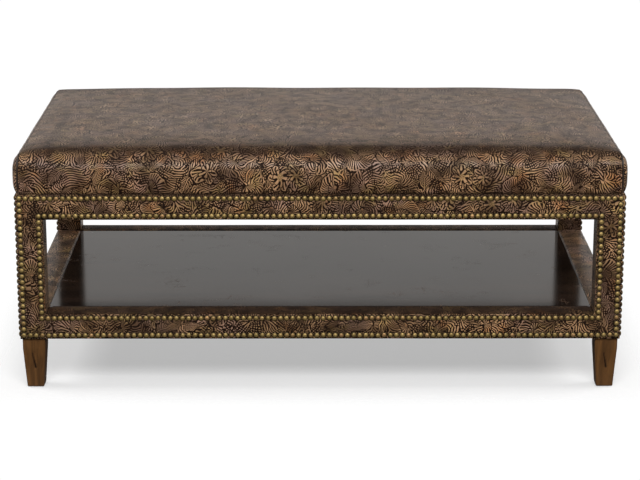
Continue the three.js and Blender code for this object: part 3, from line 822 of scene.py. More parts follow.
FOLD_STEPS = 5
BEND_STEPS = 5
FACE_STEPS = 11
EDGE_STEPS = 36
TOP_STEPS = 41
UNDER_DECK = FOLD_STEPS + BEND_STEPS - 1    # stations before the foot of the face, and after the last
GATHER_PITCH = 41 * MM                      # from one gather to the next along the side seams
GATHER_FADE = 20 * MM
PANEL_GATHER_PITCH = 47 * MM                # the same along the side panels
JOINT_SHADE_HEIGHT = 4.5 * MM                       # of the painted shade round the frame's top, where the seat meets it
CREST_SHADE_HEIGHT = 82 * MM                    # above the frame's top, where painted shade darkens the seat's crest edges
CREST_SHADE_FADE = 8 * MM
CREST_SHADE_FROM = (0.27, 0.31)                 # from the middle of the depth, where that starts and is full
SEAM_PLACES = (0, 0.6, 1.3, 2.2, 3.4, 5, 7, 9.5, 12.5, 16, 20, 25, 31, 38, 46, 55)    # millimetres in
MIDDLE_STEP = 9.5 * MM
MIDDLE_ENDS = 64 * MM                       # from the side seams
STITCH = 6.5 * MM                           # of the welts
STITCH_SHARE = 0.04                         # of a welt's radius, which its stitches draw in
WELT_SIDES = 12
WELT_SIDE_SHARE = 0.26                      # of a welt's diameter, the width of one of its sides
WELT_ROOM = 0.3 * MM                        # between the main panel and the welts
FLAT_SHARE = 0.85                           # of the half width, in which places across are the same


class Stations:
    """Places round the seat from under its front edge to under its back edge.

    Each has its place (y, z), its outward direction, the half width at the side seams, how far it is up
    the face and through the waterfall edge, both from 0 to 1, and its distance along the leather.
    """

    def __init__(self, seat):
        crest = FRAME_TOP + seat.edge_height
        turn_start = crest - seat.waterfall_height
        foot = FRAME_HALF_Y - seat.setback
        face_start = SEAT_BOTTOM + seat.fold_radius * (1 - math.sin(seat.face_lean))
        bulge = math.tan(seat.face_lean) * (turn_start - face_start) / 2
        top_reach = foot + bulge - seat.waterfall_depth
        half_below = FRAME_HALF_X - seat.side_setback
        half_corner = FRAME_HALF_X - seat.seam_inset
        edge_centre = seat.fold_radius * math.cos(seat.face_lean) - foot
        fold_end = seat.fold - foot
        rows = []
        for share in np.linspace(0, 1, FOLD_STEPS):
            rows.append((fold_end + (edge_centre - fold_end) * share, SEAT_BOTTOM, 0, -1, half_below, 0, 0))
        for angle in np.linspace(0, math.pi / 2 - seat.face_lean, BEND_STEPS + 1)[1:]:
            y = edge_centre - seat.fold_radius * math.sin(angle)
            z = SEAT_BOTTOM + seat.fold_radius * (1 - math.cos(angle))
            rows.append((y, z, -math.sin(angle), -math.cos(angle), half_below, 0, 0))
        for rise in np.linspace(0, 1, FACE_STEPS + 1)[1:]:
            z = face_start + (turn_start - face_start) * rise
            rows.append((-foot - bulge * rise * (2 - rise), z, -1, 0, half_below, rise, 0))
        bend = 2 / seat.fullness
        for share in np.linspace(0, 1, EDGE_STEPS + 1)[1:-1]:
            back = math.cos(share * math.pi / 2)
            up = math.sin(share * math.pi / 2)
            y = -top_reach - seat.waterfall_depth * back ** bend
            z = turn_start + seat.waterfall_height * up ** bend
            out = Vector((
                -back ** (2 - bend) / seat.waterfall_depth,
                up ** (2 - bend) / seat.waterfall_height,
            )).normalized()
            half = half_below + (half_corner - half_below) * share
            rows.append((y, z, out.x, out.y, half, 1, share))
        for share in np.linspace(1, 0, TOP_STEPS):
            middle = 1 - share * share
            half = half_corner - seat.seam_pull * middle
            rows.append((-top_reach * share, crest + seat.crown * middle, 0, 1, half, 1, 1))
        front = np.array(rows, dtype=float)
        back = front[:-1][::-1].copy()
        back[:, 0] *= -1
        back[:, 2] *= -1
        table = np.vstack([front, back])
        self.y, self.z, self.out_y, self.out_z, self.half, self.rise, self.turn = table.T
        steps = np.hypot(np.diff(self.y), np.diff(self.z))
        self.along = np.concatenate([[0], np.cumsum(steps)])
        self.along -= self.along[len(front) - 1]
        self.seat = seat

    def points(self, x, inset=0.0):
        """Points of the cover's outside for an array of places across, one row for each of them."""
        seat = self.seat
        x = np.broadcast_to(x, (len(x), len(self.y)))
        share = np.abs(x) / self.half
        roll = np.exp((np.abs(x) - self.half) / seat.roll_length)
        fall = seat.side_crown * share ** 2.2 + seat.side_roll * roll
        tuck = seat.face_roll * roll * np.sin(self.rise * math.pi / 2)
        near_corner = np.exp((np.abs(x) - self.half) / seat.fill_length)
        fill = seat.corner_fill * near_corner * np.sin(self.turn * math.pi) ** 2
        move = fill - tuck * self.out_y ** 2 - fall * np.maximum(0, self.out_z) ** 2 - inset
        move = move + self.pulls(x) * np.minimum(1, self.rise * 2)
        return np.stack([x, self.y + self.out_y * move, self.z + self.out_z * move], axis=-1)

    def pulls(self, x):
        """Small pulls of the leather where it is sewn in at the sides, and slow unevenness over the pad."""
        near = np.exp((np.abs(x) - self.half) / GATHER_FADE)
        gathers = np.sin(self.along * FULL_TURN / GATHER_PITCH + 2 * np.sin(self.along * 17)) * np.sign(x)
        slow = np.sin(x * 9.1 + 1.3) * np.sin(self.along * 11.7 + 0.6)
        slow = slow + 0.5 * np.sin(x * 23 + self.along * 19)
        return self.seat.pucker * (gathers * near + 1.6 * slow * (1 - near))


def places_across(half, end_room):
    """Places from one side seam to the other, closer together near the seams."""
    middle = np.arange(0, half - MIDDLE_ENDS, MIDDLE_STEP)
    left = -(half - end_room - np.array(SEAM_PLACES) * MM)
    return np.concatenate([left, -middle[:0:-1], middle, -left[::-1]])


def seat_painted_shade(points):
    """Painted shade where the seat meets the frame, and a little along its front and back crest edges."""
    rise = points[:, 2] - FRAME_TOP
    outer = np.interp(np.abs(points[:, 1]), CREST_SHADE_FROM, (0, 1))
    # painted shade along the seat's crest near its front and back
    painted_edge_shade = 0.60 * bell(rise - CREST_SHADE_HEIGHT, CREST_SHADE_FADE) * outer
    # and painted shade where the seat meets the frame
    return np.column_stack([np.maximum(bell(rise, JOINT_SHADE_HEIGHT), painted_edge_shade), np.zeros(len(points))])


def seat_main_panel(seat):
    """The one sheet of leather over the front, the top and the back."""
    stations = Stations(seat)
    room = seat.welt + WELT_ROOM
    least = stations.half.min()
    straight = least * FLAT_SHARE
    across = places_across(least, room)
    beyond = np.sign(across) * np.maximum(0, np.abs(across) - straight) / (least - straight - room)
    x = across[:, None] + beyond[:, None] * (stations.half - least)
    points = stations.points(x)
    faces = grid_faces(*points.shape[:2])
    flat = np.stack([x, np.broadcast_to(stations.along, x.shape)], axis=-1).reshape(-1, 2)
    points = points.reshape(-1, 3)
    corners = np.array(faces).ravel()
    maps = {"Hide": flat[corners], "Wear": seat_painted_shade(points[corners])}
    nodes = ("seat_cover_main", "seat_padding_wrap", "seat_foam")
    piece = new_piece("seat_cover_panel", points, faces, "tooled_leather", nodes, maps)
    thicken(piece, seat.leather)
    return stations


def end_outline(stations, inset, to_seam, bottom):
    """The outline of the seat's end at a side seam, closed along its bottom, as (y, z, half width)."""
    keep = stations.z >= SEAT_BOTTOM + stations.seat.fold_radius
    edge = stations.points(np.array([stations.half - to_seam]), inset)[0]
    outline = np.column_stack([edge[keep][:, 1], edge[keep][:, 2], stations.half[keep]])
    first = outline[0].copy()
    last = outline[-1].copy()
    first[1] = last[1] = bottom
    floor = np.linspace(last[0], first[0], 40)[1:-1]
    under = np.column_stack([floor, np.full_like(floor, bottom), np.full_like(floor, first[2])])
    return np.vstack([first, outline, last, under])


def seat_side_panel(seat, stations, sign, name, node):
    """A side panel inside the welt, swelling from its outline in to its flatter middle."""
    outline = end_outline(stations, seat.welt * 0.85, seat.welt / 2, SEAT_BOTTOM)
    half_below = FRAME_HALF_X - seat.side_setback
    crest = FRAME_TOP + seat.edge_height
    middle = (SEAT_BOTTOM + crest) / 2
    rings = []
    for share in np.concatenate([np.linspace(0, 0.3, 13), np.linspace(0.35, 1, 13)]):
        x = half_below + (outline[:, 2] - half_below) * (1 - share) ** 2
        x = x + seat.side_bulge * (1 - (1 - share) ** 3)
        y = outline[:, 0] * (1 - share * seat.bulge_reach / (FRAME_HALF_Y - seat.setback))
        z = middle + (outline[:, 1] - middle) * (1 - share * seat.bulge_rise / (crest - middle))
        gathers = np.sin(y * FULL_TURN / PANEL_GATHER_PITCH + 1.5 * np.sin(y * 21))
        slow = np.sin(y * 13 + 0.7 * sign) * np.sin(z * 47) + 0.6 * np.sin(y * 31 + z * 19)
        x = x + seat.pucker * share * (1.6 * (1 - share) * gathers + 0.8 * slow)
        rings.append(np.column_stack([sign * x, y, z]))
    rim_x, rim_y, rim_z = rings[-1].T
    for share in (0.8, 0.6, 0.4, 0.2):
        rings.append(np.column_stack([rim_x, rim_y * share, middle + (rim_z - middle) * share]))
    columns = len(outline)
    points = np.vstack([*rings, [[rim_x.mean(), 0, middle]]])
    faces = grid_faces(len(rings), columns, close_columns=True)
    last = (len(rings) - 1) * columns
    faces += [(last + i, last + (i + 1) % columns, len(points) - 1) for i in range(columns)]
    faces = [face[::-sign] for face in faces]
    corners = points[np.concatenate(faces)]
    maps = {
        "Hide": np.column_stack([corners[:, 1] * sign + SIDE_PANEL_HIDE, corners[:, 2]]),
        "Wear": seat_painted_shade(corners),
    }
    piece = new_piece(name, points, faces, "tooled_leather", (node,), maps)
    thicken(piece, seat.leather)


def seat_welt(seat, stations, sign, name, node):
    """The covered cord in a side seam, up from the frame, over the seat and down again."""
    radius = seat.welt / 2
    seen = slice(UNDER_DECK, -UNDER_DECK)
    centre = stations.points(np.array([stations.half - radius]), radius)[0][seen]
    centre[:, 0] = (stations.half[seen] - radius) * sign
    out = np.column_stack([np.zeros(len(centre)), stations.out_y[seen], stations.out_z[seen]])
    ends = centre[[0, -1]]
    ends[:, 2] = SEAT_BOTTOM
    centre = np.vstack([ends[0], centre, ends[1]])
    out = np.vstack([out[0], out, out[-1]])
    sides = WELT_SIDES
    along = np.concatenate([[0], np.cumsum(np.linalg.norm(np.diff(centre, axis=0), axis=1))])
    angles = np.arange(sides) * FULL_TURN / sides
    swell = (radius * (1 + STITCH_SHARE * np.sin(along * FULL_TURN / STITCH)))[:, None, None]
    points = (
        centre[:, None, :]
        + swell * np.cos(angles)[None, :, None] * np.array([1, 0, 0])
        + swell * np.sin(angles)[None, :, None] * out[:, None, :]
    )
    count = len(centre) * sides
    caps = [tuple(range(sides)), tuple(range(count - 1, count - sides - 1, -1))]
    faces = [face[::sign] for face in grid_faces(len(centre), sides, close_columns=True) + caps]
    uv = []
    for row in range(len(centre) - 1):
        for side in range(sides):
            corners = ((row, side), (row, side + 1), (row + 1, side + 1), (row + 1, side))
            uv += [(along[r], WELT_HIDE + s * seat.welt * WELT_SIDE_SHARE) for r, s in corners][::sign]
    uv += [(0.0, WELT_HIDE)] * (2 * sides)
    new_piece(name, points.reshape(-1, 3), faces, "welt_leather", (node,), {"Hide": uv})


# Nails: an outer and an inner rectangle of heads on each of the four outside faces of the frame

DOME_PROFILE = ((1.0, -0.12), (1.0, 0.06), (0.94, 0.26), (0.82, 0.50), (0.62, 0.74), (0.35, 0.92))
NAIL_LEAN = 0.035
NAIL_SCALES = (0.97, 1.03)


def nail_places(nails):
    """For each side of the frame: nail centres along and up it."""
    spots = {}
    edge = nails.margin
    inner = POST_SIZE - nails.margin
    for side in SIDES:
        wide = FRAME_HALF_X if side in {"front", "back"} else FRAME_HALF_Y
        rings = (
            (wide - edge, FRAME_BOTTOM + edge, FRAME_TOP - edge),
            (wide - inner, LOWER_RAIL_TOP - edge, UPPER_RAIL_BOTTOM + edge),
        )
        flat = []
        for reach, low, high in rings:
            along = max(1, round(2 * reach / nails.pitch))
            up = max(1, round((high - low) / nails.pitch))
            for i in range(along + 1):
                u = -reach + 2 * reach * i / along
                flat += [(u, low), (u, high)]
            for i in range(1, up):
                v = low + (high - low) * i / up
                flat += [(-reach, v), (reach, v)]
        spots[side] = flat
    return spots


def on_side(side, u, v):
    """A point of one of the frame's outside faces, from its place along and up it."""
    return {
        "front": Vector((u, -FRAME_HALF_Y, v)),
        "back": Vector((-u, FRAME_HALF_Y, v)),
        "left": Vector((-FRAME_HALF_X, -u, v)),
        "right": Vector((FRAME_HALF_X, u, v)),
    }[side]


NORMALS = {
    "front": Vector((0, -1, 0)),
    "back": Vector((0, 1, 0)),
    "left": Vector((-1, 0, 0)),
    "right": Vector((1, 0, 0)),
}


def dome(nails, sides=14):
    """One nail head round +Z: its points, its faces, and how high each point is on it, from 0 to 1."""
    reach = nails.head / 2
    points = []
    shares = []
    for share, up in DOME_PROFILE:
        for i in range(sides):
            angle = FULL_TURN * i / sides
            points.append((reach * share * math.cos(angle), reach * share * math.sin(angle), nails.rise * up))
            shares.append(max(0.0, up))
    points.append((0.0, 0.0, nails.rise))
    shares.append(1.0)
    faces = grid_faces(len(DOME_PROFILE), sides, close_columns=True)
    ring = (len(DOME_PROFILE) - 1) * sides
    faces += [(ring + i, ring + (i + 1) % sides, len(points) - 1) for i in range(sides)]
    faces.append(tuple(range(sides - 1, -1, -1)))
    return np.array(points), faces, shares


def drive_nails(nails):
    """The heads of each side as one piece, each a little out of line and tilted."""
    head, head_faces, shares = dome(nails)
    for side, flat in nail_places(nails).items():
        draw = random.Random(f"{nails.seed} {side}")
        points = []
        faces = []
        uv = []
        for u, v in flat:
            base = on_side(side, u + draw.gauss(0, nails.wander), v + draw.gauss(0, nails.wander))
            tilt = Vector([draw.gauss(0, NAIL_LEAN) for axis in range(3)])
            up = (NORMALS[side] + tilt).normalized()
            turn = up.to_track_quat("Z", "Y")
            spin = draw.uniform(0, FULL_TURN)
            chance = draw.random()
            scale = draw.uniform(*NAIL_SCALES)
            matrix = np.array(turn.to_matrix()) * scale
            spun = np.column_stack([
                head[:, 0] * math.cos(spin) - head[:, 1] * math.sin(spin),
                head[:, 0] * math.sin(spin) + head[:, 1] * math.cos(spin),
                head[:, 2],
            ])
            start = len(points) * len(head)
            points.append(spun @ matrix.T + np.array(base))
            for face in head_faces:
                faces.append(tuple(start + i for i in face))
                uv += [(chance, shares[i]) for i in face]
        new_piece(f"nail_heads_{side}", np.vstack(points), faces, "brass", (), {"Nail": uv})


# Leather sleeves of the posts and rails

NAIL_DENT = 5.5 * MM            # how far round a nail the leather is drawn in
NAIL_WAX = 7 * MM               # how far round a nail dark wax stays
SHARP_EDGE = 0.05 * MM          # of a post where a rail meets it
SHARP_CHANGE = 0.4 * MM         # how far above and below a rail's edge that starts and ends
NAIL_SIDE = 2.8 * MM            # from a row of nails to the points beside it
SLOW_WAVES = np.array([(31.0, 27.0, 37.0), (-19.0, 45.0, 23.0)])


def sleeve_outline(size_a, size_b, radii, stops):
    """Points round a bar: (a, b, outward a, outward b, place across the face from -1 to 1).

    The faces follow in the order +a, +b, -a, -b, and radii are those of the corners that end them. stops are
    the distances from a corner at which every face has points.
    """
    halves = (size_a / 2, size_b / 2)
    rows = []
    for face, out in enumerate(((1, 0), (0, 1), (-1, 0), (0, -1))):
        beside = (-out[1], out[0])
        level = halves[face % 2]
        reach = halves[1 - face % 2]
        before = radii[face - 1]
        after = radii[face]
        for place in [stop - reach for stop in stops] + [0.0] + [reach - stop for stop in reversed(stops)]:
            place = min(max(place, before - reach), reach - after)
            a = out[0] * level + beside[0] * place
            b = out[1] * level + beside[1] * place
            rows.append((a, b, out[0], out[1], place / reach))
        for step in range(1, 4):
            c = math.cos(step * math.pi / 8)
            s = math.sin(step * math.pi / 8)
            outward = (out[0] * c + beside[0] * s, out[1] * c + beside[1] * s)
            a = out[0] * (level - after) + beside[0] * (reach - after) + outward[0] * after
            b = out[1] * (level - after) + beside[1] * (reach - after) + outward[1] * after
            rows.append((a, b, outward[0], outward[1], 1.0))
    return np.array(rows)


def hide_map(points, outward):
    """The flat pattern as it folds round the frame, by the way that the leather faces."""
    x, y, z = points.T
    turn = 0.58 * EDGE_RADIUS
    from_front = y + FRAME_HALF_Y
    patterns = np.array([
        (x, z),
        (x + BACK_HIDE, z),
        (turn - FRAME_HALF_X - from_front, z),
        (FRAME_HALF_X - turn + from_front, z),
        (x, z + from_front - turn),
        (x, z - from_front + turn),
    ])
    ways = np.array([
        -outward[:, 1], outward[:, 1], -outward[:, 0], outward[:, 0], outward[:, 2], -outward[:, 2],
    ])
    return patterns[np.argmax(ways, axis=0), :, np.arange(len(points))]


def sleeve_relief(node, axis, points, outward, across, near, nails):
    """How far each point moves out: dents at the nails, slow waves, crowned rails, swells between nails."""
    low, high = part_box(node)
    centre = (low + high) / 2
    moved = -nails.dimple * bell(near, NAIL_DENT)
    moved = moved + UNEVEN * np.sin(points @ SLOW_WAVES[0]) * np.sin(points @ SLOW_WAVES[1])
    if node.startswith("bottom_rail"):
        moved = moved + np.where(outward[:, 2] > 0.99, nails.crown * (1 - across ** 2), 0)
    face_half = (POST_SIZE if axis == 2 else high.z - low.z) / 2
    between = np.maximum(0, 1 - (across * face_half / (face_half - nails.margin)) ** 2)
    from_end = np.minimum(points[:, axis] - low[axis], high[axis] - points[:, axis])
    between = between * eased(np.clip(from_end / nails.swell_end, 0, 1))
    outside = outward[:, :2] @ np.sign(np.round(np.array(centre)[:2], 3)) > 0.99
    return moved + nails.swell * np.where(outside, between, 0)


def sleeve_wax_and_shade(node, axis, points, outward, near):
    """Wax round the nails, painted shade round the frame's top, and dull leather with painted shade."""
    low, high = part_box(node)
    centre = (low + high) / 2
    # wax round the nails, and painted shade round the frame's top where the seat meets it
    wax_and_shade = np.maximum(0.9 * bell(near, NAIL_WAX), bell(points[:, 2] - FRAME_TOP, JOINT_SHADE_HEIGHT))
    dull = np.zeros(len(points))
    # the lower front and back rails' tops: dull leather, painted dark as shade
    if node.startswith("bottom_rail") and axis == 0:
        dull = np.where(outward[:, 2] > 0.5, 1.0 if centre.y < 0 else 0.6, 0.0)
    # the posts' inner faces: a little painted shade
    if axis == 2:
        inward = np.maximum(-outward[:, 0] * np.sign(centre.x), -outward[:, 1] * np.sign(centre.y))
        dull = np.where(inward > 0.7, 0.1, 0.0)
    return np.column_stack([wax_and_shade, dull])


def wrap(name, node, axis, radii_at, nails, leather, tree):
    """The leather sleeve of a post or rail, drawn in under its nails and swelling between them.

    axis is the bar's own direction, radii_at gives the four corner radii at a place along it, and tree
    finds the nearest nail.
    """
    low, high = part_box(node)
    size = high - low
    centre = (low + high) / 2
    a_axis, b_axis = ((1, 2), (2, 0), (0, 1))[axis]
    margin = nails.margin
    stops = [1.2 * MM, margin - NAIL_SIDE, margin, margin + NAIL_SIDE, margin + 6.2 * MM, size[a_axis] * 0.36]
    room = JOINT_GAP if axis < 2 else 0.0
    steps = max(2, round(size[axis] / (nails.pitch / 3)))
    along = np.linspace(low[axis] - room, high[axis] + room, steps + 1)
    if axis == 2:
        for level in (LOWER_RAIL_TOP, UPPER_RAIL_BOTTOM):
            along = np.append(along, [level - SHARP_CHANGE, level + SHARP_CHANGE])
        along = np.sort(along)
    section = (size[a_axis], size[b_axis])
    outline = np.stack([sleeve_outline(*section, radii_at(place), stops) for place in along])
    count = outline.shape[1]
    points = np.zeros((len(along), count, 3))
    points[:, :, axis] = along[:, None]
    points[:, :, a_axis] = centre[a_axis] + outline[:, :, 0]
    points[:, :, b_axis] = centre[b_axis] + outline[:, :, 1]
    outward = np.zeros((len(along), count, 3))
    outward[:, :, a_axis] = outline[:, :, 2]
    outward[:, :, b_axis] = outline[:, :, 3]
    points = points.reshape(-1, 3)
    outward = outward.reshape(-1, 3)
    faces = grid_faces(len(along), count, close_columns=True)
    corners = np.array(faces)
    facing = np.repeat(outward[corners].mean(axis=1), 4, axis=0)
    corners = corners.ravel()
    uv = hide_map(points[corners], facing)
    near = np.array([tree.find(point)[2] for point in points])
    moved = sleeve_relief(node, axis, points, outward, outline[:, :, 4].ravel(), near, nails)
    maps = {"Hide": uv, "Wear": sleeve_wax_and_shade(node, axis, points, outward, near)[corners]}
    piece = new_piece(name, points + outward * moved[:, None], faces, "tooled_leather", (node,), maps)
    thicken(piece, leather)


def rail_radii(place):
    """Corner radii of a rail, the same all along it."""
    return [EDGE_RADIUS] * 4


def post_radii(corner):
    """Corner radii of a post: next to the rails only its outer corner is rounded."""
    outer = ("back_right", "back_left", "front_left", "front_right").index(corner)

    def radii_at(z):
        joined = z < LOWER_RAIL_TOP or z > UPPER_RAIL_BOTTOM
        return [EDGE_RADIUS if i == outer or not joined else SHARP_EDGE for i in range(4)]

    return radii_at


# Wood

FOOT_POINTS = 24                # along each side of a foot's section
FOOT_SHOULDER = 22 * MM         # the straight part under the frame
TOE_SHARE = 34 / 46             # of a foot's size at its top
TOE_EASE = 1.0 * MM
TOE_EASE_HEIGHT = 2 * MM
EDGE_WEAR = 4 * MM              # how far in from a foot's edges they are rubbed
CLOTH_STEPS = (61, 37)
CLOTH_ROOM = 0.3 * MM           # round the posts
CLOTH_THICKNESS = 0.6 * MM
GOUGE_TOP = (-4.5 * MM, -30 * MM)       # across the foot, and down from the frame
GOUGE_END = (1.5 * MM, -62 * MM)


def rounded_block(name, rings, slot_name, nodes, maps):
    """A closed block over rings of equally many points from bottom to top, with one map value a point."""
    count = len(rings[0])
    faces = grid_faces(len(rings), count, close_columns=True)
    faces.append(tuple(range(count - 1, -1, -1)))
    top = (len(rings) - 1) * count
    faces.append(tuple(top + i for i in range(count)))
    corners = np.concatenate(faces)
    maps = {map_name: np.asarray(values)[corners] for map_name, values in maps.items()}
    piece = new_piece(name, np.vstack(rings), faces, slot_name, nodes, maps)
    for cap in piece.data.polygons[-2:]:
        cap.use_smooth = False


def shelf(wood):
    """The board with its four edges eased all round."""
    low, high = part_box("shelf_board")
    ease = wood.shelf_ease
    thick = high.z - low.z
    halfway = ease * 0.3
    levels = ((0, ease), (halfway, halfway), (ease, 0))
    levels += tuple((thick - up, inset) for up, inset in reversed(levels))
    steps_x = 60
    steps_y = 32
    rings = []
    for up, inset in levels:
        x0 = low.x + inset
        x1 = high.x - inset
        y0 = low.y + inset
        y1 = high.y - inset
        ring = [(x, y0) for x in np.linspace(x0, x1, steps_x)[:-1]]
        ring += [(x1, y) for y in np.linspace(y0, y1, steps_y)[:-1]]
        ring += [(x, y1) for x in np.linspace(x1, x0, steps_x)[:-1]]
        ring += [(x0, y) for y in np.linspace(y1, y0, steps_y)[:-1]]
        rings.append(np.array([(x, y, low.z + up) for x, y in ring]))
    rounded_block("shelf_top", rings, "shelf_wood", ("shelf_board",), {})


def gouge_mark(place, top, end):
    """How deep a place on a foot's face is in its slanted gouge, from 0 to 1."""
    line = end - top
    along = max(0.0, min(1.0, (place - top).dot(line) / line.length_squared))
    distance = (place - (top + line * along)).length
    width = (0.5 + 1.5 * along) * MM
    return max(0.0, 1 - distance / (width * 1.6))


def foot(wood, corner, seed):
    """A tapered foot with rounded edges; the front ones carry a slanted gouge."""
    node = f"foot_{corner}"
    low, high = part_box(node)
    centre = (low + high) / 2
    top_half = (high.x - low.x) / 2
    toe_half = top_half * TOE_SHARE
    ease = wood.foot_ease
    tall = high.z - low.z
    levels = [0, 0.6, 1.8, 3.5] + list(np.arange(6, tall / MM - 1, 2.0)) + [tall / MM - 0.6, tall / MM]
    phase = random.Random(seed).uniform(0, 6)
    gouge_top = Vector((GOUGE_TOP[0], high.z + GOUGE_TOP[1]))
    gouge_end = Vector((GOUGE_END[0], high.z + GOUGE_END[1]))
    rings = []
    grain = []
    wear = []
    for up in levels:
        up = up * MM
        half = toe_half + (top_half - toe_half) * min(1.0, up / (tall - FOOT_SHOULDER))
        if up < TOE_EASE_HEIGHT:
            half -= TOE_EASE * (1 - up / TOE_EASE_HEIGHT) ** 2
        ring = []
        for side in range(4):
            turn = side * math.pi / 2
            for i in range(FOOT_POINTS):
                a = half
                b = (-1 + 2 * i / FOOT_POINTS) * half
                corner_gap = half - abs(b)
                if corner_gap < ease:
                    bend = math.sqrt(max(0.0, ease ** 2 - (ease - corner_gap) ** 2))
                    a = half - (ease - bend) * 0.6
                mark = 0.0
                if side == 3 and corner.startswith("front"):
                    mark = gouge_mark(Vector((b, low.z + up)), gouge_top, gouge_end)
                a -= wood.gouge * mark
                a += UNEVEN * math.sin(b * 190 + up * 55 + phase + side)
                x = a * math.cos(turn) - b * math.sin(turn)
                y = a * math.sin(turn) + b * math.cos(turn)
                ring.append((centre.x + x, centre.y + y, low.z + up))
                grain.append((low.z + up + seed, b + side * 0.11 + seed * 0.3))
                wear.append((max(0.0, 1 - corner_gap / EDGE_WEAR), min(1.0, mark * 1.6)))
        rings.append(np.array(ring))
    rounded_block(f"tapered_foot_{corner}", rings, "foot_wood", (node,), {"Grain": grain, "Wear": wear})


def dust_cover(wood):
    """Thin cloth stapled under the top frame and hanging a little at its middle, cut out round the posts."""
    low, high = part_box("dust_cover")
    notch = POST_SIZE - (FRAME_HALF_X - high.x) + CLOTH_ROOM
    inner_x = high.x - notch
    inner_y = high.y - notch
    xs = [low.x, *np.linspace(-inner_x, inner_x, CLOTH_STEPS[0]), high.x]
    ys = [low.y, *np.linspace(-inner_y, inner_y, CLOTH_STEPS[1]), high.y]
    points = []
    index = {}
    for i, x in enumerate(xs):
        for j, y in enumerate(ys):
            if abs(x) > inner_x and abs(y) > inner_y:
                continue
            hang = max(0.0, 1 - (x / inner_x) ** 2) * max(0.0, 1 - (y / inner_y) ** 2)
            ripple = 0.25 * math.sin(x * 61) * math.sin(y * 53)
            index[i, j] = len(points)
            points.append((x, y, high.z - wood.cloth_sag * hang ** 0.7 * (1 + 0.1 * ripple)))
    faces = []
    for i in range(len(xs) - 1):
        for j in range(len(ys) - 1):
            corners = ((i, j), (i, j + 1), (i + 1, j + 1), (i + 1, j))
            if all(corner in index for corner in corners):
                faces.append(tuple(index[corner] for corner in corners))
    uv = np.array(points)[np.array(faces).ravel(), :2]
    piece = new_piece("underside_cloth", points, faces, "cambric", ("dust_cover",), {"Cloth": uv})
    thicken(piece, CLOTH_THICKNESS)


# Stage

# Each softbox: its place, what it looks at, its width and height in metres and its power in watts
SOFTBOXES = {
    "front_softbox": ((0.1, -3.1, 2.75), (0, -0.3, 0.35), 2.6, 1.3, 134.0),
    "fill_softbox": ((0.8, -4.0, 0.9), (0, 0, 0.3), 2.4, 1.0, 24.0),
    "top_softbox": ((-0.3, -2.1, 3.3), (0, -0.3, 0.45), 2.8, 1.0, 10.0),
    "left_softbox": ((-3.3, 0.2, 2.6), (0, 0, 0.3), 2.0, 1.2, 80.0),
    "right_softbox": ((3.3, 0.2, 2.6), (0, 0, 0.3), 2.0, 1.2, 70.0),
    "back_softbox": ((0.4, 4.2, 0.62), (0, 0, 0.35), 2.6, 1.1, 75.0),
}
NOT_MIRRORED = {"fill_softbox", "back_softbox"}    # too low: the seat and shelf would mirror them
FLOOR_REACH = 2.6
CAMERA_PLACE = (-0.0101, -4.4121, 1.4159)
CAMERA_DOWN = 15.177                               # degrees
CAMERA_RIGHT = 0.138
CAMERA_LENS = 117.7                                # millimetres, on a sensor 36 mm wide


def studio_floor():
    """White floor with the stool's shade on it, clear further out and seen from below.

    The stool itself meets a dull floor, which throws little light back at it.
    """
    made = bpy.data.materials.new("studio_floor")
    pen = clear_tree(made)
    place = pen.split(abs(pen.place()))
    beyond = pen.math("SMOOTH_MAX", place["X"] - FRAME_HALF_X, place["Y"] - FRAME_HALF_Y, 0.1)
    far = pen.most(pen.ramp(beyond, -0.04, 0.15), pen.wire("Backfacing", "ShaderNodeNewGeometry"))
    lit = pen.wire(0, "ShaderNodeBsdfDiffuse", {"Color": (0.45,) * 3})
    glow = pen.wire(0, "ShaderNodeEmission", {"Strength": 0.435})
    white = pen.wire(0, "ShaderNodeAddShader", {0: lit, 1: glow})
    dull = pen.wire(0, "ShaderNodeBsdfDiffuse", {"Color": (0.12,) * 3})
    seen = pen.wire("Is Camera Ray", "ShaderNodeLightPath")
    near = pen.wire(0, "ShaderNodeMixShader", {0: seen, 1: dull, 2: white})
    clear = pen.wire(0, "ShaderNodeBsdfTransparent")
    faded = pen.wire(0, "ShaderNodeMixShader", {0: far, 1: near, 2: clear})
    pen.node("ShaderNodeOutputMaterial", {"Surface": faded})
    return made


def studio_world():
    """White paper behind the stool, and a darker room in front of it and above."""
    world = bpy.data.worlds.new("studio")
    pen = clear_tree(world)
    toward = pen.split(pen.wire("Generated", "ShaderNodeTexCoord"))
    paper = pen.ramp(toward["Y"], 0.05, 0.5) * pen.ramp(toward["Z"], 0.53, 0.26)
    room = pen.blend(pen.ramp(toward["Z"], 0.2, 0.9), 0.04, 0.12)
    seen = pen.wire("Is Camera Ray", "ShaderNodeLightPath")
    background = {
        "Strength": pen.blend(seen, pen.blend(paper, room, 0.68), 1.02),
        "Color": pen.mix(seen, (1.0, 0.97, 0.94), (1.0, 1.0, 1.0)),
    }
    pen.node("ShaderNodeOutputWorld", {"Surface": pen.wire(0, "ShaderNodeBackground", background)})
    return world


def softbox(name, place, aim, wide, tall, power):
    """A rectangular light that looks at a point."""
    light = bpy.data.lights.new(name, "AREA")
    light.shape = "RECTANGLE"
    light.size = wide
    light.size_y = tall
    light.energy = power
    lamp = bpy.data.objects.new(name, light)
    lamp.location = place
    lamp.rotation_euler = (Vector(aim) - Vector(place)).to_track_quat("-Z", "Y").to_euler()
    lamp.visible_glossy = name not in NOT_MIRRORED
    return lamp


# Operators

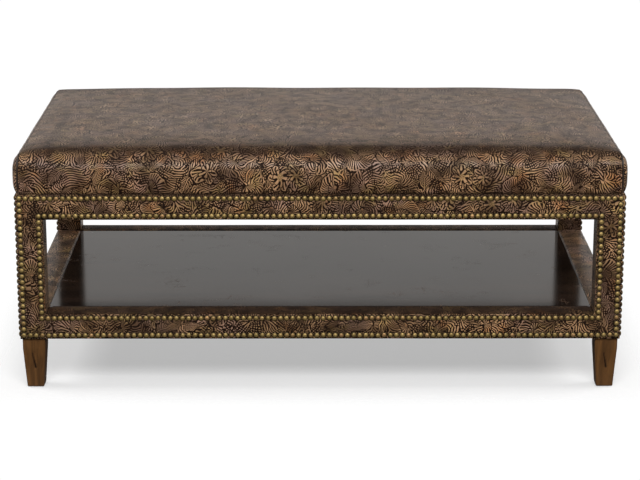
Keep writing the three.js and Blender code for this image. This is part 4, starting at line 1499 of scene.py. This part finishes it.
class FOOTSTOOL_OT_finish_frame(bpy.types.Operator):
    """Give the wooden frame, fasteners and glides their finishes"""
    bl_idname = "footstool.finish_frame"
    bl_label = "Finish Frame"

    def execute(self, context):
        for part in frame["record"]["subparts"]:
            node = frame["nodes"][part["node"]]
            slot_name = part["material_slot"]
            if slot_name in {"foam", "wadding"}:
                slot_name = "cambric"
            node.data.materials.clear()
            node.data.materials.append(material(slot_name))
        return {"FINISHED"}


class FOOTSTOOL_OT_cover_seat(bpy.types.Operator):
    """Cover the seat with tooled leather, with a welt in each side seam"""
    bl_idname = "footstool.cover_seat"
    bl_label = "Cover Seat"

    def execute(self, context):
        seat = context.scene.footstool_seat
        stations = seat_main_panel(seat)
        for sign, side in ((-1, "left"), (1, "right")):
            seat_side_panel(seat, stations, sign, f"seat_side_panel_{side}", f"seat_cover_{side}")
            seat_welt(seat, stations, sign, f"seat_seam_welt_{side}", f"seat_welt_{side}")
        return {"FINISHED"}


class FOOTSTOOL_OT_wrap_frame(bpy.types.Operator):
    """Wrap the posts and rails in tooled leather"""
    bl_idname = "footstool.wrap_frame"
    bl_label = "Wrap Frame"

    def execute(self, context):
        nails = context.scene.footstool_nails
        leather = context.scene.footstool_seat.leather
        spots = [on_side(side, u, v) for side, flat in nail_places(nails).items() for u, v in flat]
        tree = KDTree(len(spots))
        for i, spot in enumerate(spots):
            tree.insert(spot, i)
        tree.balance()
        for corner in CORNERS:
            name = f"wrapped_post_{corner}"
            wrap(name, f"post_leather_{corner}", 2, post_radii(corner), nails, leather, tree)
        for side in SIDES:
            axis = 0 if side in {"front", "back"} else 1
            for level in ("bottom", "top"):
                name = f"wrapped_{level}_rail_{side}"
                wrap(name, f"{level}_rail_leather_{side}", axis, rail_radii, nails, leather, tree)
        return {"FINISHED"}


class FOOTSTOOL_OT_drive_nails(bpy.types.Operator):
    """Set the rows of domed nail heads"""
    bl_idname = "footstool.drive_nails"
    bl_label = "Drive Nails"

    def execute(self, context):
        drive_nails(context.scene.footstool_nails)
        return {"FINISHED"}


class FOOTSTOOL_OT_fit_wood(bpy.types.Operator):
    """Lay the shelf and set the four tapered feet"""
    bl_idname = "footstool.fit_wood"
    bl_label = "Fit Shelf And Feet"

    def execute(self, context):
        wood = context.scene.footstool_wood
        shelf(wood)
        for i, corner in enumerate(CORNERS):
            foot(wood, corner, i + 1)
        return {"FINISHED"}


class FOOTSTOOL_OT_close_underside(bpy.types.Operator):
    """Staple the thin cloth under the top frame"""
    bl_idname = "footstool.close_underside"
    bl_label = "Close Underside"

    def execute(self, context):
        dust_cover(context.scene.footstool_wood)
        return {"FINISHED"}


class FOOTSTOOL_OT_set_stage(bpy.types.Operator):
    """Make the floor, the studio light and the camera"""
    bl_idname = "footstool.set_stage"
    bl_label = "Set Stage"

    def execute(self, context):
        scene = context.scene
        mesh = bpy.data.meshes.new("studio_floor")
        corners = ((-1, -1), (1, -1), (1, 1), (-1, 1))
        mesh.from_pydata([(x * FLOOR_REACH, y * FLOOR_REACH, 0) for x, y in corners], [], [(0, 1, 2, 3)])
        mesh.materials.append(studio_floor())
        floor = bpy.data.objects.new("studio_floor", mesh)
        scene.collection.objects.link(floor)
        scene.world = studio_world()
        for name, settings in SOFTBOXES.items():
            scene.collection.objects.link(softbox(name, *settings))

        camera = bpy.data.cameras.new("camera")
        camera.sensor_width = 36.0
        camera.lens = CAMERA_LENS
        camera.clip_end = 100.0
        eye = bpy.data.objects.new("camera", camera)
        eye.location = CAMERA_PLACE
        eye.rotation_euler = (math.radians(90 - CAMERA_DOWN), 0.0, math.radians(-CAMERA_RIGHT))
        scene.collection.objects.link(eye)
        scene.camera = eye
        scene.view_settings.view_transform = "Standard"
        return {"FINISHED"}


class FOOTSTOOL_PT_build(bpy.types.Panel):
    """Lists the steps that build the footstool"""
    bl_label = "Footstool"
    bl_idname = "FOOTSTOOL_PT_build"
    bl_space_type = "VIEW_3D"
    bl_region_type = "UI"
    bl_category = "Footstool"

    def draw(self, context):
        for step in STEPS:
            self.layout.operator(step)


STEPS = (
    "footstool.finish_frame",
    "footstool.cover_seat",
    "footstool.wrap_frame",
    "footstool.drive_nails",
    "footstool.fit_wood",
    "footstool.close_underside",
    "footstool.set_stage",
)
SETTINGS = {
    "footstool_seat": SeatSizes,
    "footstool_nails": NailSizes,
    "footstool_wood": WoodSizes,
    "footstool_finishes": Finishes,
}
CLASSES = (
    *SETTINGS.values(),
    FOOTSTOOL_OT_finish_frame,
    FOOTSTOOL_OT_cover_seat,
    FOOTSTOOL_OT_wrap_frame,
    FOOTSTOOL_OT_drive_nails,
    FOOTSTOOL_OT_fit_wood,
    FOOTSTOOL_OT_close_underside,
    FOOTSTOOL_OT_set_stage,
    FOOTSTOOL_PT_build,
)


def register():
    for cls in CLASSES:
        bpy.utils.register_class(cls)
    for name, cls in SETTINGS.items():
        setattr(bpy.types.Scene, name, PointerProperty(type=cls))


def unregister():
    for name in SETTINGS:
        delattr(bpy.types.Scene, name)
    for cls in reversed(CLASSES):
        bpy.utils.unregister_class(cls)


def main():
    register()
    for step in STEPS:
        family, name = step.split(".")
        getattr(getattr(bpy.ops, family), name)()


if __name__ == "__main__":
    main()
